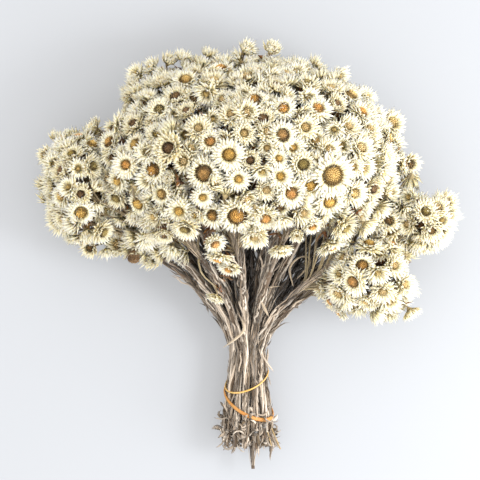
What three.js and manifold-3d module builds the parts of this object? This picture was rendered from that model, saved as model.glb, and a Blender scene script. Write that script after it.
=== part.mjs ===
// A bunch of dried daisies that lies on its side: 26 flowering sprays held by two rubber bands.
// Millimetres, +Z up. +Y runs along the bunch from the cut ends to the flowers.
// While it is being made, y = 0 is the middle of the tie and z = 0 is the surface it lies on.
//
// The stems are a flow: each keeps its own place (u, w) in the round section of the tie, and the
// section swells along the bunch. A spray owns the cell of the section that is nearest to its stem,
// so everything that is drawn inside the cells stays clear of the neighbouring sprays.
import * as THREE from "three";
import { mergeVertices } from "three/addons/utils/BufferGeometryUtils.js";
import Module from "manifold-3d";

// The stems' places in the tie: rings of stems, with each ring's radius and the angle it starts at.
const STEM_RINGS = [
  { stems: 3, radius: 3.7, start: 0.52 },
  { stems: 9, radius: 9.7, start: 0.35 },
  { stems: 14, radius: 15.7, start: 0.3 },
];
const STEM_RADIUS = 2.6;
const STEM_SIDES = 5;
const FAN_STEPS = 6;
const FORK_BEND = 1.5;
const CUT_END = -45;
const CUT_SCATTER = 8;
const LONGEST_CUT_END = -70;

// How the section swells: the waist just above the tie, and the growth past it.
const WAIST_Y = 27;
const WAIST_WIDTH = 0.82;
const WAIST_HEIGHT = 0.88;
const CUT_FLARE_WIDTH = 0.0067;
const CUT_FLARE_HEIGHT = 0.0052;
const FAN_WIDTH = 4.1;
const FAN_WIDTH_POWER = 1.7;
const FAN_HEIGHT = 1.59;
const FAN_HEIGHT_POWER = 2.23;
const FAN_SCALE = 100;

// The bunch's middle line: near the surface at the tie, and rising into the flowers.
const AXIS_X = -2;
const AXIS_TIE_Z = 24;
const AXIS_FLOWER_Z = 62;
const AXIS_RISE_END = 170;
const AXIS_END_SLOPE = 0.03;

// The flower mass is four overlapping lobes, each an egg with its lower side pressed flat.
const LOBES = [
  { x: -5, y: 195, z: 62, rx: 130, ry: 88, up: 82, down: 57, darts: 900 },
  { x: -143, y: 174, z: 54, rx: 29, ry: 46, up: 46, down: 46, darts: 200 },
  { x: 147, y: 148, z: 56, rx: 24, ry: 26, up: 34, down: 32, darts: 90 },
  { x: 102, y: 99, z: 58, rx: 38, ry: 31, up: 38, down: 36, darts: 140 },
];
const PRESSED_FLAT = 1.35;
const LOBE_OVERLAP = 0.9;
const RIM_TILT = 0.4;

// The heads that fill the places between the named ones: their spacing where the skin faces up,
// aside and down, and their size. None stands among the stems of the fan.
const TOP_SPACING = 17.5;
const SIDE_SPACING = 25;
const UNDER_SPACING = 31;
const FACING = 0.35;
const FILL_RADIUS_LEAST = 11.5;
const FILL_RADIUS_MOST = 15;
const BUD_SHARE = 0.75;
const STEM_CLEARANCE = 14;
const STEM_ENVELOPE = 20;
const STEM_REACH_Y = 140;

// How heads stray from the skin. The big ones stand on it squarely, and the small ones sink and
// lean.
const STEADY_RADIUS = 17;
const STEADY_RANGE = 8;
const LEAST_STRAY = 0.1;
const DEEPEST = 7;
const LEAN = 0.5;
const LEAN_DOWN = 0.4;
const LEAN_UP = 0.8;
const HEAD_LIFT = 0.3;
const HEAD_ROOM = 0.42;
const LEAST_SHARE = 0.3;
const MOST_SHARE = 0.7;

// The kinds of daisy head: how far it is open (1 is flat, 0 is a closed bud), and its disc's share.
const KINDS = {
  gold: { open: 1.0, disc: 0.4 },
  yellow: { open: 1.0, disc: 0.3 },
  orange: { open: 0.8, disc: 0.4 },
  umber: { open: 0.9, disc: 0.46 },
  olive: { open: 0.6, disc: 0.42 },
  tan: { open: 0.5, disc: 0.36 },
  brown: { open: 0.35, disc: 0.44 },
  bud: { open: 0.1, disc: 0.3 },
};
const FILL_KINDS = ["tan", "gold", "umber", "olive", "tan", "brown", "yellow", "orange", "tan", "bud"];

// The named heads: x, y, diameter and kind, row by row from the far end of the bunch to the tie.
const NAMED_HEADS = [
  [18, 291, 22, "bud"], [-26, 285, 23, "orange"], [1, 280, 16, "bud"], [-46, 279, 24, "brown"],
  [24, 278, 22, "tan"], [-101, 265, 19, "bud"], [-75, 264, 26, "tan"], [-55, 264, 28, "gold"],
  [-31, 263, 29, "tan"], [49, 262, 27, "olive"], [70, 258, 27, "tan"], [-93, 252, 21, "brown"],
  [74, 243, 22, "brown"], [-54, 237, 21, "brown"], [95, 236, 28, "orange"], [-16, 234, 26, "tan"],
  [11, 230, 26, "brown"], [118, 230, 18, "bud"], [-136, 225, 22, "tan"], [84, 224, 26, "tan"],
  [47, 223, 26, "tan"], [102, 222, 24, "tan"], [-44, 222, 27, "tan"], [-148, 219, 24, "orange"],
  [-162, 217, 22, "orange"], [-5, 218, 24, "tan"], [27, 216, 28, "umber"], [120, 215, 25, "gold"],
  [-34, 211, 24, "orange"], [-120, 211, 26, "umber"], [-98, 209, 26, "gold"], [37, 206, 25, "yellow"],
  [15, 206, 20, "tan"], [-65, 205, 31, "brown"], [-152, 201, 23, "olive"], [-18, 199, 31, "gold"],
  [115, 198, 27, "tan"], [23, 196, 23, "yellow"], [0, 195, 22, "brown"], [-134, 191, 24, "olive"],
  [-99, 191, 27, "orange"], [45, 191, 27, "olive"], [88, 190, 22, "tan"], [-82, 187, 27, "umber"],
  [-160, 186, 27, "brown"], [-39, 184, 32, "umber"], [71, 182, 45, "gold"], [23, 181, 27, "yellow"],
  [-10, 179, 26, "yellow"], [118, 179, 26, "tan"], [-67, 179, 17, "bud"], [-114, 177, 27, "yellow"],
  [105, 171, 25, "brown"], [14, 169, 23, "tan"], [35, 167, 31, "orange"], [-144, 166, 21, "brown"],
  [-115, 163, 24, "olive"], [-76, 165, 25, "gold"], [128, 162, 27, "gold"], [69, 160, 33, "gold"],
  [-44, 163, 22, "yellow"], [-93, 158, 27, "gold"], [-60, 152, 29, "yellow"], [150, 152, 25, "brown"],
  [45, 150, 27, "tan"], [94, 149, 27, "tan"], [-11, 148, 36, "umber"], [-32, 147, 25, "umber"],
  [-82, 146, 25, "tan"], [18, 146, 28, "orange"], [-160, 145, 25, "tan"], [132, 140, 23, "brown"],
  [-55, 137, 27, "olive"], [77, 137, 29, "olive"], [100, 138, 26, "brown"], [155, 136, 25, "brown"],
  [54, 136, 20, "orange"], [-125, 133, 25, "olive"], [-73, 132, 20, "brown"], [40, 132, 17, "bud"],
  [4, 130, 27, "tan"], [-86, 127, 23, "tan"], [102, 126, 27, "gold"], [121, 123, 26, "orange"],
  [67, 122, 31, "orange"], [-30, 124, 21, "orange"], [27, 116, 23, "olive"], [-31, 110, 28, "orange"],
  [-101, 111, 14, "brown"], [123, 106, 25, "tan"], [95, 106, 24, "umber"], [-18, 101, 23, "orange"],
  [88, 92, 29, "orange"], [132, 89, 24, "tan"], [60, 86, 22, "tan"], [114, 82, 26, "tan"],
  [67, 74, 26, "orange"], [100, 73, 25, "tan"], [-30, 74, 18, "olive"], [138, 66, 22, "brown"],
  [76, 63, 20, "orange"],
];

// Each head's own shape, as shares of its radius, and the elevation of its two layers of bracts,
// which number more on the larger heads.
const BRACTS = [
  { above: 17, count: 14 },
  { above: 14.2, count: 10 },
  { above: 0, count: 8 },
];
const LOWER_VALLEY = 0.58;
const UPPER_TIP = 0.84;
const UPPER_VALLEY = 0.5;
const OPEN_ELEVATION = -12;
const LAYER_STEP = 30;
const DISC_STEP = 15;
const CLOSING_LIFT = 38;
const DISC_DOME = 0.16;
const HEAD_BASE = 0.42;

// A spray above its tie: where its stem forks, the upper stem past the fork, and the stalks.
const FORK_SETBACK = 40;
const FORK_NEAREST = 78;
const FORK_FURTHEST = 190;
const FORK_SPREAD = 24;
const FORK_ROOM = 1;
const UPPER_STEM_RADIUS = 1.7;
const UPPER_STEM_SHARE = 0.62;
const ROOT_STEP = 3.2;
const FIRST_ROOT = 0.12;
const LAST_ROOT = 0.94;
const ROOT_ORDER = 0.6;
const HANGING_BEND = 7;
const HANGING_PLACE = 0.7;
const STALK_RADIUS = 1.1;
const STALK_SIDES = 3;

// A dried leaf on each stem: a narrow keeled blade that lifts off the stem towards its tip.
const LEAVES_START = 0.12;
const LEAF_LENGTH = 17;
const LEAF_WIDTH = 4.2;
const LEAF_THICKNESS = 1.2;
const LEAF_BELLY = 0.4;
const LEAF_BELLY_LIFT = 1.1;
const LEAF_TIP_LIFT = 2.6;

// Clear space between the pieces.
const CELL_GAP = 0.2;
const SEAT_GAP = 0.35;
const BAND_GAP = 0.45;

// The rubber bands: the y of the middle, how far the right side and the top lie along from it.
const ORANGE_BAND = { y: -12, right: -10, top: -11.5, width: 3.4, thickness: 1.7 };
const YELLOW_BAND = { y: 8.5, right: 6.8, top: -10.5, width: 1.5, thickness: 1.3 };
const BAND_STEPS = 26;

const CREAM = { color: 0xf0e9d0, roughness: 0.85, metalness: 0 };
const STEM_GREY = { color: 0x8c7f6d, roughness: 0.95, metalness: 0 };
const ORANGE_RUBBER = { color: 0xd98232, roughness: 0.6, metalness: 0 };
const YELLOW_RUBBER = { color: 0xe6c878, roughness: 0.55, metalness: 0 };

const GOLDEN_ANGLE = Math.PI * (3 - Math.sqrt(5));
const SEED = 20731;
const SURFACE_SNAP = 0.05;
const REACH_PASSES = 12;
const PUSH_PASSES = 6;
const MERGE_DISTANCE = 1e-4;

const wasm = await Module();
wasm.setup();

// The same draws on each run.
function makeDraw(seed) {
  const modulus = 2147483647;
  let state = seed;
  return (low, high) => {
    state = (state * 16807) % modulus;
    return low + ((high - low) * state) / modulus;
  };
}

// The section of the bunch at y: its middle, and how much it has swollen since the tie.
function sectionAt(y) {
  const rise = THREE.MathUtils.smoothstep(y, WAIST_Y, AXIS_RISE_END);
  const droop = AXIS_END_SLOPE * Math.min(y - WAIST_Y, 0);
  const middle = THREE.MathUtils.lerp(AXIS_TIE_Z, AXIS_FLOWER_Z, rise) + droop;
  if (y < WAIST_Y) {
    const below = WAIST_Y - y;
    const width = WAIST_WIDTH + CUT_FLARE_WIDTH * below;
    return { z: middle, width, height: WAIST_HEIGHT + CUT_FLARE_HEIGHT * below };
  }
  const past = (y - WAIST_Y) / FAN_SCALE;
  const width = WAIST_WIDTH + FAN_WIDTH * past ** FAN_WIDTH_POWER;
  return { z: middle, width, height: WAIST_HEIGHT + FAN_HEIGHT * past ** FAN_HEIGHT_POWER };
}

// A point's place in the tie, as x and z, with its own y.
function toFlow(point) {
  const { z, width, height } = sectionAt(point.y);
  return new THREE.Vector3((point.x - AXIS_X) / width, point.y, (point.z - z) / height);
}

function fromFlow(flow) {
  const { z, width, height } = sectionAt(flow.y);
  return new THREE.Vector3(AXIS_X + flow.x * width, flow.y, z + flow.z * height);
}

// Each stem's cell of the section: its site, and a wall towards each of the other stems.
function makeCells() {
  const sites = STEM_RINGS.flatMap(({ stems, radius, start }) =>
    Array.from({ length: stems }, (_, i) => {
      const angle = start + (2 * Math.PI * i) / stems;
      return new THREE.Vector2(radius * Math.cos(angle), radius * Math.sin(angle));
    }),
  );
  return sites.map((site) => ({
    site,
    walls: sites
      .filter((other) => other !== site)
      .map((other) => ({
        normal: site.clone().sub(other).normalize(),
        middle: site.clone().add(other).multiplyScalar(0.5),
      })),
  }));
}

// The distance from a point to a wall of a cell, and the direction away from the wall.
function fromWall(point, wall) {
  const section = sectionAt(point.y);
  const slopeX = wall.normal.x / section.width;
  const slopeZ = wall.normal.y / section.height;
  const u = (point.x - AXIS_X) / section.width - wall.middle.x;
  const w = (point.z - section.z) / section.height - wall.middle.y;
  const steepness = Math.hypot(slopeX, slopeZ);
  const distance = (wall.normal.x * u + wall.normal.y * w) / steepness;
  return { distance, x: slopeX / steepness, z: slopeZ / steepness };
}

// How far inside its cell, and above the surface, a point is.
function roomInCell(point, cell) {
  return Math.min(point.z, ...cell.walls.map((wall) => fromWall(point, wall).distance - CELL_GAP));
}

// The flat border between a head and a neighbour of its spray, further from the larger of the two.
function borderWith(head, other) {
  const across = other.position.clone().sub(head.position);
  const distance = across.length();
  const share = (distance ** 2 + head.radius ** 2 - other.radius ** 2) / (2 * distance ** 2);
  const limit = distance * THREE.MathUtils.clamp(share, LEAST_SHARE, MOST_SHARE);
  return { across: across.normalize(), limit };
}

function roomForHead(point, head) {
  const offset = point.clone().sub(head.position);
  const fromBorders = head.borders.map(({ across, limit }) => limit - offset.dot(across));
  return Math.min(roomInCell(point, head.cell), ...fromBorders);
}

// Moves a point away from each wall that is nearer than the room it needs.
function pushIntoCell(point, cell, room) {
  for (let pass = 0; pass < PUSH_PASSES; pass += 1) {
    for (const wall of cell.walls) {
      const { distance, x, z } = fromWall(point, wall);
      const short = Math.max(0, room - distance);
      point.x += x * short;
      point.z += z * short;
    }
  }
  return point;
}

// The furthest point from the centre towards the tip where there is still room. A point that is
// stopped by the surface lies on it.
function reachFrom(centre, tip, roomAt) {
  if (roomAt(tip) >= 0) return tip.clone();
  let near = 0;
  let far = 1;
  for (let pass = 0; pass < REACH_PASSES; pass += 1) {
    const half = (near + far) / 2;
    if (roomAt(centre.clone().lerp(tip, half)) >= 0) near = half;
    else far = half;
  }
  const reached = centre.clone().lerp(tip, near);
  if (reached.z < SURFACE_SNAP) reached.z = 0;
  return reached;
}

// A point of a lobe's skin in a direction of the unit ball, with the way out of the lobe there.
function lobeSkin(lobe, direction) {
  const rise = direction.z > 0
    ? lobe.up * direction.z
    : -lobe.down * Math.min(1, -PRESSED_FLAT * direction.z);
  const position = new THREE.Vector3(
    lobe.x + lobe.rx * direction.x,
    lobe.y + lobe.ry * direction.y,
    lobe.z + rise,
  );
  const depth = direction.z > 0 ? lobe.up : lobe.down;
  const out = new THREE.Vector3(direction.x / lobe.rx, direction.y / lobe.ry, direction.z / depth);
  return { position, out: out.normalize() };
}

// The lobe direction that lies over a place in plan, at most level with the lobe's widest line.
function directionOver(lobe, x, y) {
  const plan = new THREE.Vector3((x - lobe.x) / lobe.rx, (y - lobe.y) / lobe.ry, 0);
  const reach = plan.length();
  plan.z = Math.sqrt(Math.max(0, 1 - reach * reach));
  return { direction: plan, reach };
}

// The skin over a place in plan: on the highest lobe there, or level with the nearest one.
function crownOver(x, y) {
  const covers = LOBES.map((lobe) => ({ lobe, ...directionOver(lobe, x, y) }));
  const inside = covers.filter(({ reach }) => reach < 1);
  if (inside.length === 0) {
    const nearest = covers.reduce((best, next) => (next.reach < best.reach ? next : best));
    const skin = lobeSkin(nearest.lobe, nearest.direction);
    return { position: new THREE.Vector3(x, y, nearest.lobe.z), out: skin.out.setZ(RIM_TILT).normalize() };
  }
  const skins = inside.map(({ lobe, direction }) => lobeSkin(lobe, direction));
  return skins.reduce((best, next) => (next.position.z > best.position.z ? next : best));
}

// The distance from the middle line, in the tie's own measure, that clears the fan of stems.
function stemsEdge(y) {
  return STEM_ENVELOPE + STEM_CLEARANCE / sectionAt(y).height;
}

// Raises a named head until it stands on the fan of stems.
function liftOffStems(position) {
  const flow = toFlow(position);
  const edge = stemsEdge(position.y);
  const clear = Math.sqrt(Math.max(0, edge * edge - flow.x * flow.x));
  flow.z = Math.max(flow.z, position.y < STEM_REACH_Y ? clear : flow.z);
  return fromFlow(flow);
}

function isInsideLobe(point, lobe) {
  const depth = point.z > lobe.z ? lobe.up : lobe.down;
  const away = point.clone().sub(new THREE.Vector3(lobe.x, lobe.y, lobe.z));
  return Math.hypot(away.x / lobe.rx, away.y / lobe.ry, away.z / depth) < LOBE_OVERLAP;
}

function isAmongStems(point) {
  const flow = toFlow(point);
  return point.y < STEM_REACH_Y && Math.hypot(flow.x, flow.z) < stemsEdge(point.y);
}

function spacingFor(out) {
  if (out.z > FACING) return TOP_SPACING;
  return out.z > -FACING ? SIDE_SPACING : UNDER_SPACING;
}

function liftOffSurface(head) {
  head.position.z = Math.max(head.position.z, head.radius * HEAD_LIFT);
}

// Adds heads to the skin of the lobes, wherever there is room between the heads so far.
function fillLobes(heads, draw) {
  for (const lobe of LOBES) {
    for (let i = 0; i < lobe.darts; i += 1) {
      const z = 1 - (2 * (i + 0.5)) / lobe.darts;
      const level = Math.sqrt(1 - z * z);
      const turn = i * GOLDEN_ANGLE;
      const direction = new THREE.Vector3(level * Math.cos(turn), level * Math.sin(turn), z);
      const { position, out } = lobeSkin(lobe, direction);
      const spacing = spacingFor(out);
      const hidden = LOBES.some((other) => other !== lobe && isInsideLobe(position, other));
      const crowded = heads.some((head) => head.position.distanceTo(position) < spacing);
      if (hidden || crowded || isAmongStems(position)) continue;
      const kind = FILL_KINDS[Math.floor(draw(0, FILL_KINDS.length))];
      const radius = draw(FILL_RADIUS_LEAST, FILL_RADIUS_MOST) * (kind === "bud" ? BUD_SHARE : 1);
      heads.push({ position, out, radius, kind });
    }
  }
}

// All heads, each with its centre, its axis and its turn round the axis.
function placeHeads(draw) {
  const heads = NAMED_HEADS.map(([x, y, diameter, kind]) => {
    const crown = crownOver(x, y);
    return { position: liftOffStems(crown.position), out: crown.out, radius: diameter / 2, kind };
  });
  fillLobes(heads, draw);
  for (const head of heads) {
    const share = (STEADY_RADIUS - head.radius) / STEADY_RANGE;
    const stray = THREE.MathUtils.clamp(share, LEAST_STRAY, 1);
    head.position.addScaledVector(head.out, -draw(0, DEEPEST) * stray);
    const lean = new THREE.Vector3(draw(-1, 1), draw(-1, 1), draw(-LEAN_DOWN, LEAN_UP));
    head.axis = head.out.clone().addScaledVector(lean, LEAN * stray).normalize();
    head.spin = draw(0, Math.PI);
    liftOffSurface(head);
  }
  return heads;
}

// Gives each head to the spray whose cell it lies in, and bounds it by its neighbours there.
function shareOut(heads, cells) {
  for (const head of heads) {
    const flow = toFlow(head.position);
    const place = new THREE.Vector2(flow.x, flow.z);
    head.cell = cells.reduce((best, next) =>
      next.site.distanceTo(place) < best.site.distanceTo(place) ? next : best,
    );
    pushIntoCell(head.position, head.cell, HEAD_ROOM * head.radius);
    liftOffSurface(head);
  }
  for (const head of heads) {
    const rivals = heads.filter((other) => other !== head && other.cell === head.cell);
    head.borders = rivals.map((other) => borderWith(head, other));
  }
}

// Two directions square to an axis, turned round it by the spin.
function crossAxes(axis, spin) {
  const helper = Math.abs(axis.z) < 0.9 ? new THREE.Vector3(0, 0, 1) : new THREE.Vector3(0, 1, 0);
  const side = helper.cross(axis).normalize().applyAxisAngle(axis, spin);
  return { side, front: axis.clone().cross(side) };
}

// A daisy: a domed disc, two layers of pointed bracts, and the stalk it stands on. Seen from the
// centre of the head no part of it hides another, so its points can be drawn in towards the
// centre, and it stays a solid. The stalk follows a path from under the head to its root.
function daisyGeometry(head, stalk) {
  const { open, disc } = KINDS[head.kind];
  const { position, axis, radius, spin } = head;
  const bracts = BRACTS.find(({ above }) => radius > above).count;
  const lift = CLOSING_LIFT * (1 - open);
  const lower = THREE.MathUtils.degToRad(OPEN_ELEVATION + lift);
  const upper = THREE.MathUtils.degToRad(OPEN_ELEVATION + LAYER_STEP + lift);
  const brim = THREE.MathUtils.degToRad(OPEN_ELEVATION + LAYER_STEP + DISC_STEP + lift);
  const { side, front } = crossAxes(axis, spin);
  const points = [];
  const add = (reach, elevation, turn) => {
    const level = reach * Math.cos(elevation);
    const tip = position
      .clone()
      .addScaledVector(side, level * Math.cos(turn))
      .addScaledVector(front, level * Math.sin(turn))
      .addScaledVector(axis, reach * Math.sin(elevation));
    points.push(reachFrom(position, tip, (point) => roomForHead(point, head)));
  };
  const step = (2 * Math.PI) / bracts;
  for (let i = 0; i < bracts; i += 1) add(radius * (i % 2 ? LOWER_VALLEY : 1), lower, i * step);
  for (let i = 0; i < bracts; i += 1) add(radius * (i % 2 ? UPPER_TIP : UPPER_VALLEY), upper, i * step);
  const discReach = (radius * disc) / Math.cos(brim);
  for (let i = 0; i < bracts / 2; i += 1) add(discReach, brim, (2 * i + 1) * step);
  add(discReach * Math.sin(brim) + radius * DISC_DOME, Math.PI / 2, 0);
  const high = bracts;
  const ring = 2 * bracts;
  const crown = ring + bracts / 2;
  const faces = [];
  for (let i = 0; i < bracts; i += 1) {
    const next = (i + 1) % bracts;
    faces.push(i, next, high + next, i, high + next, high + i);
  }
  for (let j = 0; j < bracts / 2; j += 1) {
    const left = high + 2 * j;
    const right = high + ((2 * j + 2) % bracts);
    const after = ring + ((j + 1) % (bracts / 2));
    faces.push(left, left + 1, ring + j, left + 1, right, ring + j);
    faces.push(ring + j, right, after, ring + j, after, crown);
  }
  const neck = crown + 1;
  for (let i = 0; i < bracts; i += 1) {
    const next = (i + 1) % bracts;
    const under = Math.floor((STALK_SIDES * i) / bracts);
    const beside = Math.floor((STALK_SIDES * (i + 1)) / bracts) % STALK_SIDES;
    faces.push(next, i, neck + under);
    if (beside !== under) faces.push(next, neck + under, neck + beside);
  }
  const across = side.clone();
  let way = axis.clone().negate();
  stalk.forEach((middle, i) => {
    const before = stalk[Math.max(0, i - 1)];
    const after = stalk[Math.min(stalk.length - 1, i + 1)];
    const along = after.clone().sub(before).normalize();
    if (i === 0) along.add(way).normalize();
    across.applyQuaternion(new THREE.Quaternion().setFromUnitVectors(way, along));
    way = along;
    const over = across.clone().cross(along);
    for (let k = 0; k < STALK_SIDES; k += 1) {
      const turn = (2 * Math.PI * (k + 0.5)) / STALK_SIDES;
      const tip = middle.clone().addScaledVector(across, STALK_RADIUS * Math.cos(turn));
      tip.addScaledVector(over, STALK_RADIUS * Math.sin(turn));
      points.push(reachFrom(middle, tip, (point) => roomInCell(point, head.cell)));
      const here = neck + STALK_SIDES * i + k;
      const next = neck + STALK_SIDES * i + ((k + 1) % STALK_SIDES);
      const above = next - STALK_SIDES;
      if (i > 0) faces.push(above, here - STALK_SIDES, here, above, here, next);
    }
  });
  const root = neck + STALK_SIDES * (stalk.length - 1);
  faces.push(root, root + 2, root + 1);
  return closedGeometry(points, faces);
}

function closedGeometry(points, faces) {
  const geometry = new THREE.BufferGeometry();
  const numbers = new Float32Array(points.flatMap((point) => point.toArray()));
  geometry.setAttribute("position", new THREE.BufferAttribute(numbers, 3));
  geometry.setIndex(faces);
  return geometry;
}

// A closed cylinder that is bent along a path of points inside a cell, with a radius for each
// place on it.
function bentTube(path, cell, radiusAt, sides, steps) {
  const curve = new THREE.CatmullRomCurve3(path);
  const chord = path[path.length - 1].clone().sub(path[0]).normalize();
  const { side } = crossAxes(chord, 0);
  const geometry = new THREE.CylinderGeometry(1, 1, 1, sides, steps);
  const places = geometry.getAttribute("position");
  for (let i = 0; i < places.count; i += 1) {
    const share = THREE.MathUtils.clamp(places.getY(i) + 0.5, 0, 1);
    const tangent = curve.getTangent(share);
    const across = side.clone().addScaledVector(tangent, -side.dot(tangent)).normalize();
    const over = across.clone().cross(tangent);
    const middle = curve.getPoint(share);
    const tip = middle.clone().addScaledVector(across, places.getX(i) * radiusAt(share));
    tip.addScaledVector(over, places.getZ(i) * radiusAt(share));
    places.setXYZ(i, ...reachFrom(middle, tip, (point) => roomInCell(point, cell)));
  }
  return geometry;
}

function toSolid(geometry) {
  const bare = geometry.clone();
  bare.deleteAttribute("normal");
  bare.deleteAttribute("uv");
  const merged = mergeVertices(bare, MERGE_DISTANCE);
  return new wasm.Manifold(
    new wasm.Mesh({
      numProp: 3,
      vertProperties: merged.getAttribute("position").array,
      triVerts: new Uint32Array(merged.index.array),
    }),
  );
}

// Joins geometries that overlap into one solid, without sealed hollows or loose scraps.
function fuse(geometries) {
  const joined = geometries.map(toSolid).reduce((whole, next) => whole.add(next));
  return joined.decompose().reduce((best, next) => (next.volume() > best.volume() ? next : best));
}

function fromSolid(solid) {
  const mesh = solid.getMesh();
  const geometry = new THREE.BufferGeometry();
  geometry.setAttribute("position", new THREE.BufferAttribute(mesh.vertProperties, 3));
  geometry.setIndex(new THREE.BufferAttribute(mesh.triVerts, 1));
  return geometry;
}

// Where a spray forks: on the way to the middle of its heads, set back along the flow.
function forkOf(heads, cell) {
  const middle = new THREE.Vector3();
  for (const head of heads) middle.addScaledVector(toFlow(head.position), 1 / heads.length);
  const keep = Math.min(1, FORK_SPREAD / Math.hypot(middle.x, middle.z));
  const y = THREE.MathUtils.clamp(middle.y - FORK_SETBACK, FORK_NEAREST, FORK_FURTHEST);
  const fork = fromFlow(new THREE.Vector3(middle.x * keep, y, middle.z * keep));
  return toFlow(pushIntoCell(fork, cell, STEM_RADIUS + FORK_ROOM));
}

// The path of a stem in the flow: straight from its cut end to the waist, and bent to its fork.
function stemFlow(cell, cutEnd, fork) {
  const points = [new THREE.Vector3(cell.site.x, cutEnd, cell.site.y)];
  for (let i = 0; i <= FAN_STEPS; i += 1) {
    const share = i / FAN_STEPS;
    const u = THREE.MathUtils.lerp(cell.site.x, fork.x, share ** FORK_BEND);
    const w = THREE.MathUtils.lerp(cell.site.y, fork.z, share ** FORK_BEND);
    points.push(new THREE.Vector3(u, THREE.MathUtils.lerp(WAIST_Y, fork.y, share), w));
  }
  return points;
}

// A leaf from its root, along the stem and away from it.
function leafGeometry(root, along, away, cell) {
  const across = along.clone().cross(away).normalize();
  const belly = root.clone().addScaledVector(along, LEAF_LENGTH * LEAF_BELLY);
  belly.addScaledVector(away, LEAF_BELLY_LIFT);
  const corners = [
    root.clone().addScaledVector(away, -LEAF_THICKNESS),
    belly.clone().addScaledVector(across, LEAF_WIDTH / 2),
    belly.clone().addScaledVector(across, -LEAF_WIDTH / 2),
    root.clone().addScaledVector(along, LEAF_LENGTH).addScaledVector(away, LEAF_TIP_LIFT),
    belly.clone().addScaledVector(away, LEAF_THICKNESS),
  ];
  const points = corners.map((tip) => reachFrom(root, tip, (point) => roomInCell(point, cell)));
  return closedGeometry(points, [0, 1, 4, 1, 3, 4, 3, 2, 4, 2, 0, 4, 0, 3, 1, 0, 2, 3]);
}

// The main stem of a spray, with its leaf, from the cut end to the fork.
function makeStem(cell, cutEnd, fork, draw) {
  const path = stemFlow(cell, cutEnd, fork).map(fromFlow);
  const last = path[path.length - 1];
  const ahead = last.clone().sub(path[path.length - 2]).normalize();
  last.addScaledVector(ahead, -SEAT_GAP);
  const curve = new THREE.CatmullRomCurve3(path);
  const tube = bentTube(path, cell, () => STEM_RADIUS, STEM_SIDES, FAN_STEPS + 1);
  const place = draw(LEAVES_START, 1 - LEAF_LENGTH / (fork.y - WAIST_Y));
  const share = (1 + FAN_STEPS * place) / (1 + FAN_STEPS);
  const along = curve.getTangent(share);
  const { side } = crossAxes(along, draw(0, 2 * Math.PI));
  const root = curve.getPoint(share).addScaledVector(side, STEM_RADIUS / 2);
  return { solid: fuse([tube, leafGeometry(root, along, side, cell)]), end: last, ahead };
}

// The heads of a spray on their stalks, which leave the upper stem one after another.
function makeBlooms(heads, cell, stem) {
  const start = stem.end.clone().addScaledVector(stem.ahead, SEAT_GAP);
  const way = start.clone().negate();
  for (const head of heads) way.addScaledVector(head.position, 1 / heads.length);
  const length = Math.min(heads.length * ROOT_STEP + ROOT_STEP, way.length() * UPPER_STEM_SHARE);
  const ahead = way.normalize().add(stem.ahead).normalize();
  const finish = pushIntoCell(start.clone().addScaledVector(ahead, length), cell, STEM_RADIUS + CELL_GAP);
  const along = finish.clone().sub(start).normalize();
  const bend = start.clone().addScaledVector(stem.ahead, length / 3);
  pushIntoCell(bend, cell, UPPER_STEM_RADIUS);
  const radiusAt = (share) => THREE.MathUtils.lerp(UPPER_STEM_RADIUS, STEM_RADIUS, share);
  const pieces = [bentTube([start, bend, finish], cell, radiusAt, STEM_SIDES - 1, 2)];
  const bases = heads.map((head) => {
    const under = head.position.clone().addScaledVector(head.axis, -HEAD_BASE * head.radius);
    pushIntoCell(under, cell, STALK_RADIUS + CELL_GAP);
    under.z = Math.max(under.z, STALK_RADIUS);
    const offset = under.clone().sub(start);
    const forward = offset.dot(along);
    const aside = offset.addScaledVector(along, -forward);
    return { head, under, forward, aside, order: forward - ROOT_ORDER * aside.length() };
  });
  bases.sort((one, other) => one.order - other.order);
  bases.forEach(({ head, under, forward, aside }, i) => {
    const place = 2 * THREE.MathUtils.lerp(FIRST_ROOT, LAST_ROOT, (i + 0.5) / heads.length);
    const root = place < 1 ? start.clone().lerp(bend, place) : bend.clone().lerp(finish, place - 1);
    const path = [under, root];
    const half = under.clone().lerp(root, 0.5);
    if (forward < 0) {
      half.lerpVectors(under, root, HANGING_PLACE).addScaledVector(aside.normalize(), HANGING_BEND);
    }
    const nudged = pushIntoCell(half.clone(), cell, STALK_RADIUS + 2 * CELL_GAP);
    nudged.z = Math.max(nudged.z, STALK_RADIUS);
    if (forward < 0 || nudged.distanceTo(half) > CELL_GAP) path.splice(1, 0, nudged);
    pieces.push(daisyGeometry(head, path));
  });
  return fuse(pieces);
}

// A rubber band: a flat ring round the stems, with its middle, right side and top at their own y.
function makeBand({ y, right, top, width, thickness }) {
  const outer = STEM_RINGS[STEM_RINGS.length - 1].radius;
  const points = [];
  const faces = [];
  for (let i = 0; i < BAND_STEPS; i += 1) {
    const turn = (2 * Math.PI * i) / BAND_STEPS;
    const at = y + right * Math.cos(turn) + top * Math.sin(turn);
    const section = sectionAt(at);
    for (const [out, along] of [[0, -0.5], [0, 0.5], [1, 0.5], [1, -0.5]]) {
      const off = STEM_RADIUS + BAND_GAP + out * thickness;
      const x = AXIS_X + Math.cos(turn) * (outer * section.width + off);
      const z = section.z + Math.sin(turn) * (outer * section.height + off);
      points.push(new THREE.Vector3(x, at + along * width, z));
    }
    const here = 4 * i;
    const next = (4 * (i + 1)) % (4 * BAND_STEPS);
    for (let k = 0; k < 4; k += 1) {
      const l = (k + 1) % 4;
      faces.push(here + k, next + l, here + l, here + k, next + k, next + l);
    }
  }
  return closedGeometry(points, faces);
}

function namedMesh(name, geometry, finish) {
  const mesh = new THREE.Mesh(geometry, new THREE.MeshStandardMaterial(finish));
  mesh.name = name;
  return mesh;
}

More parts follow.
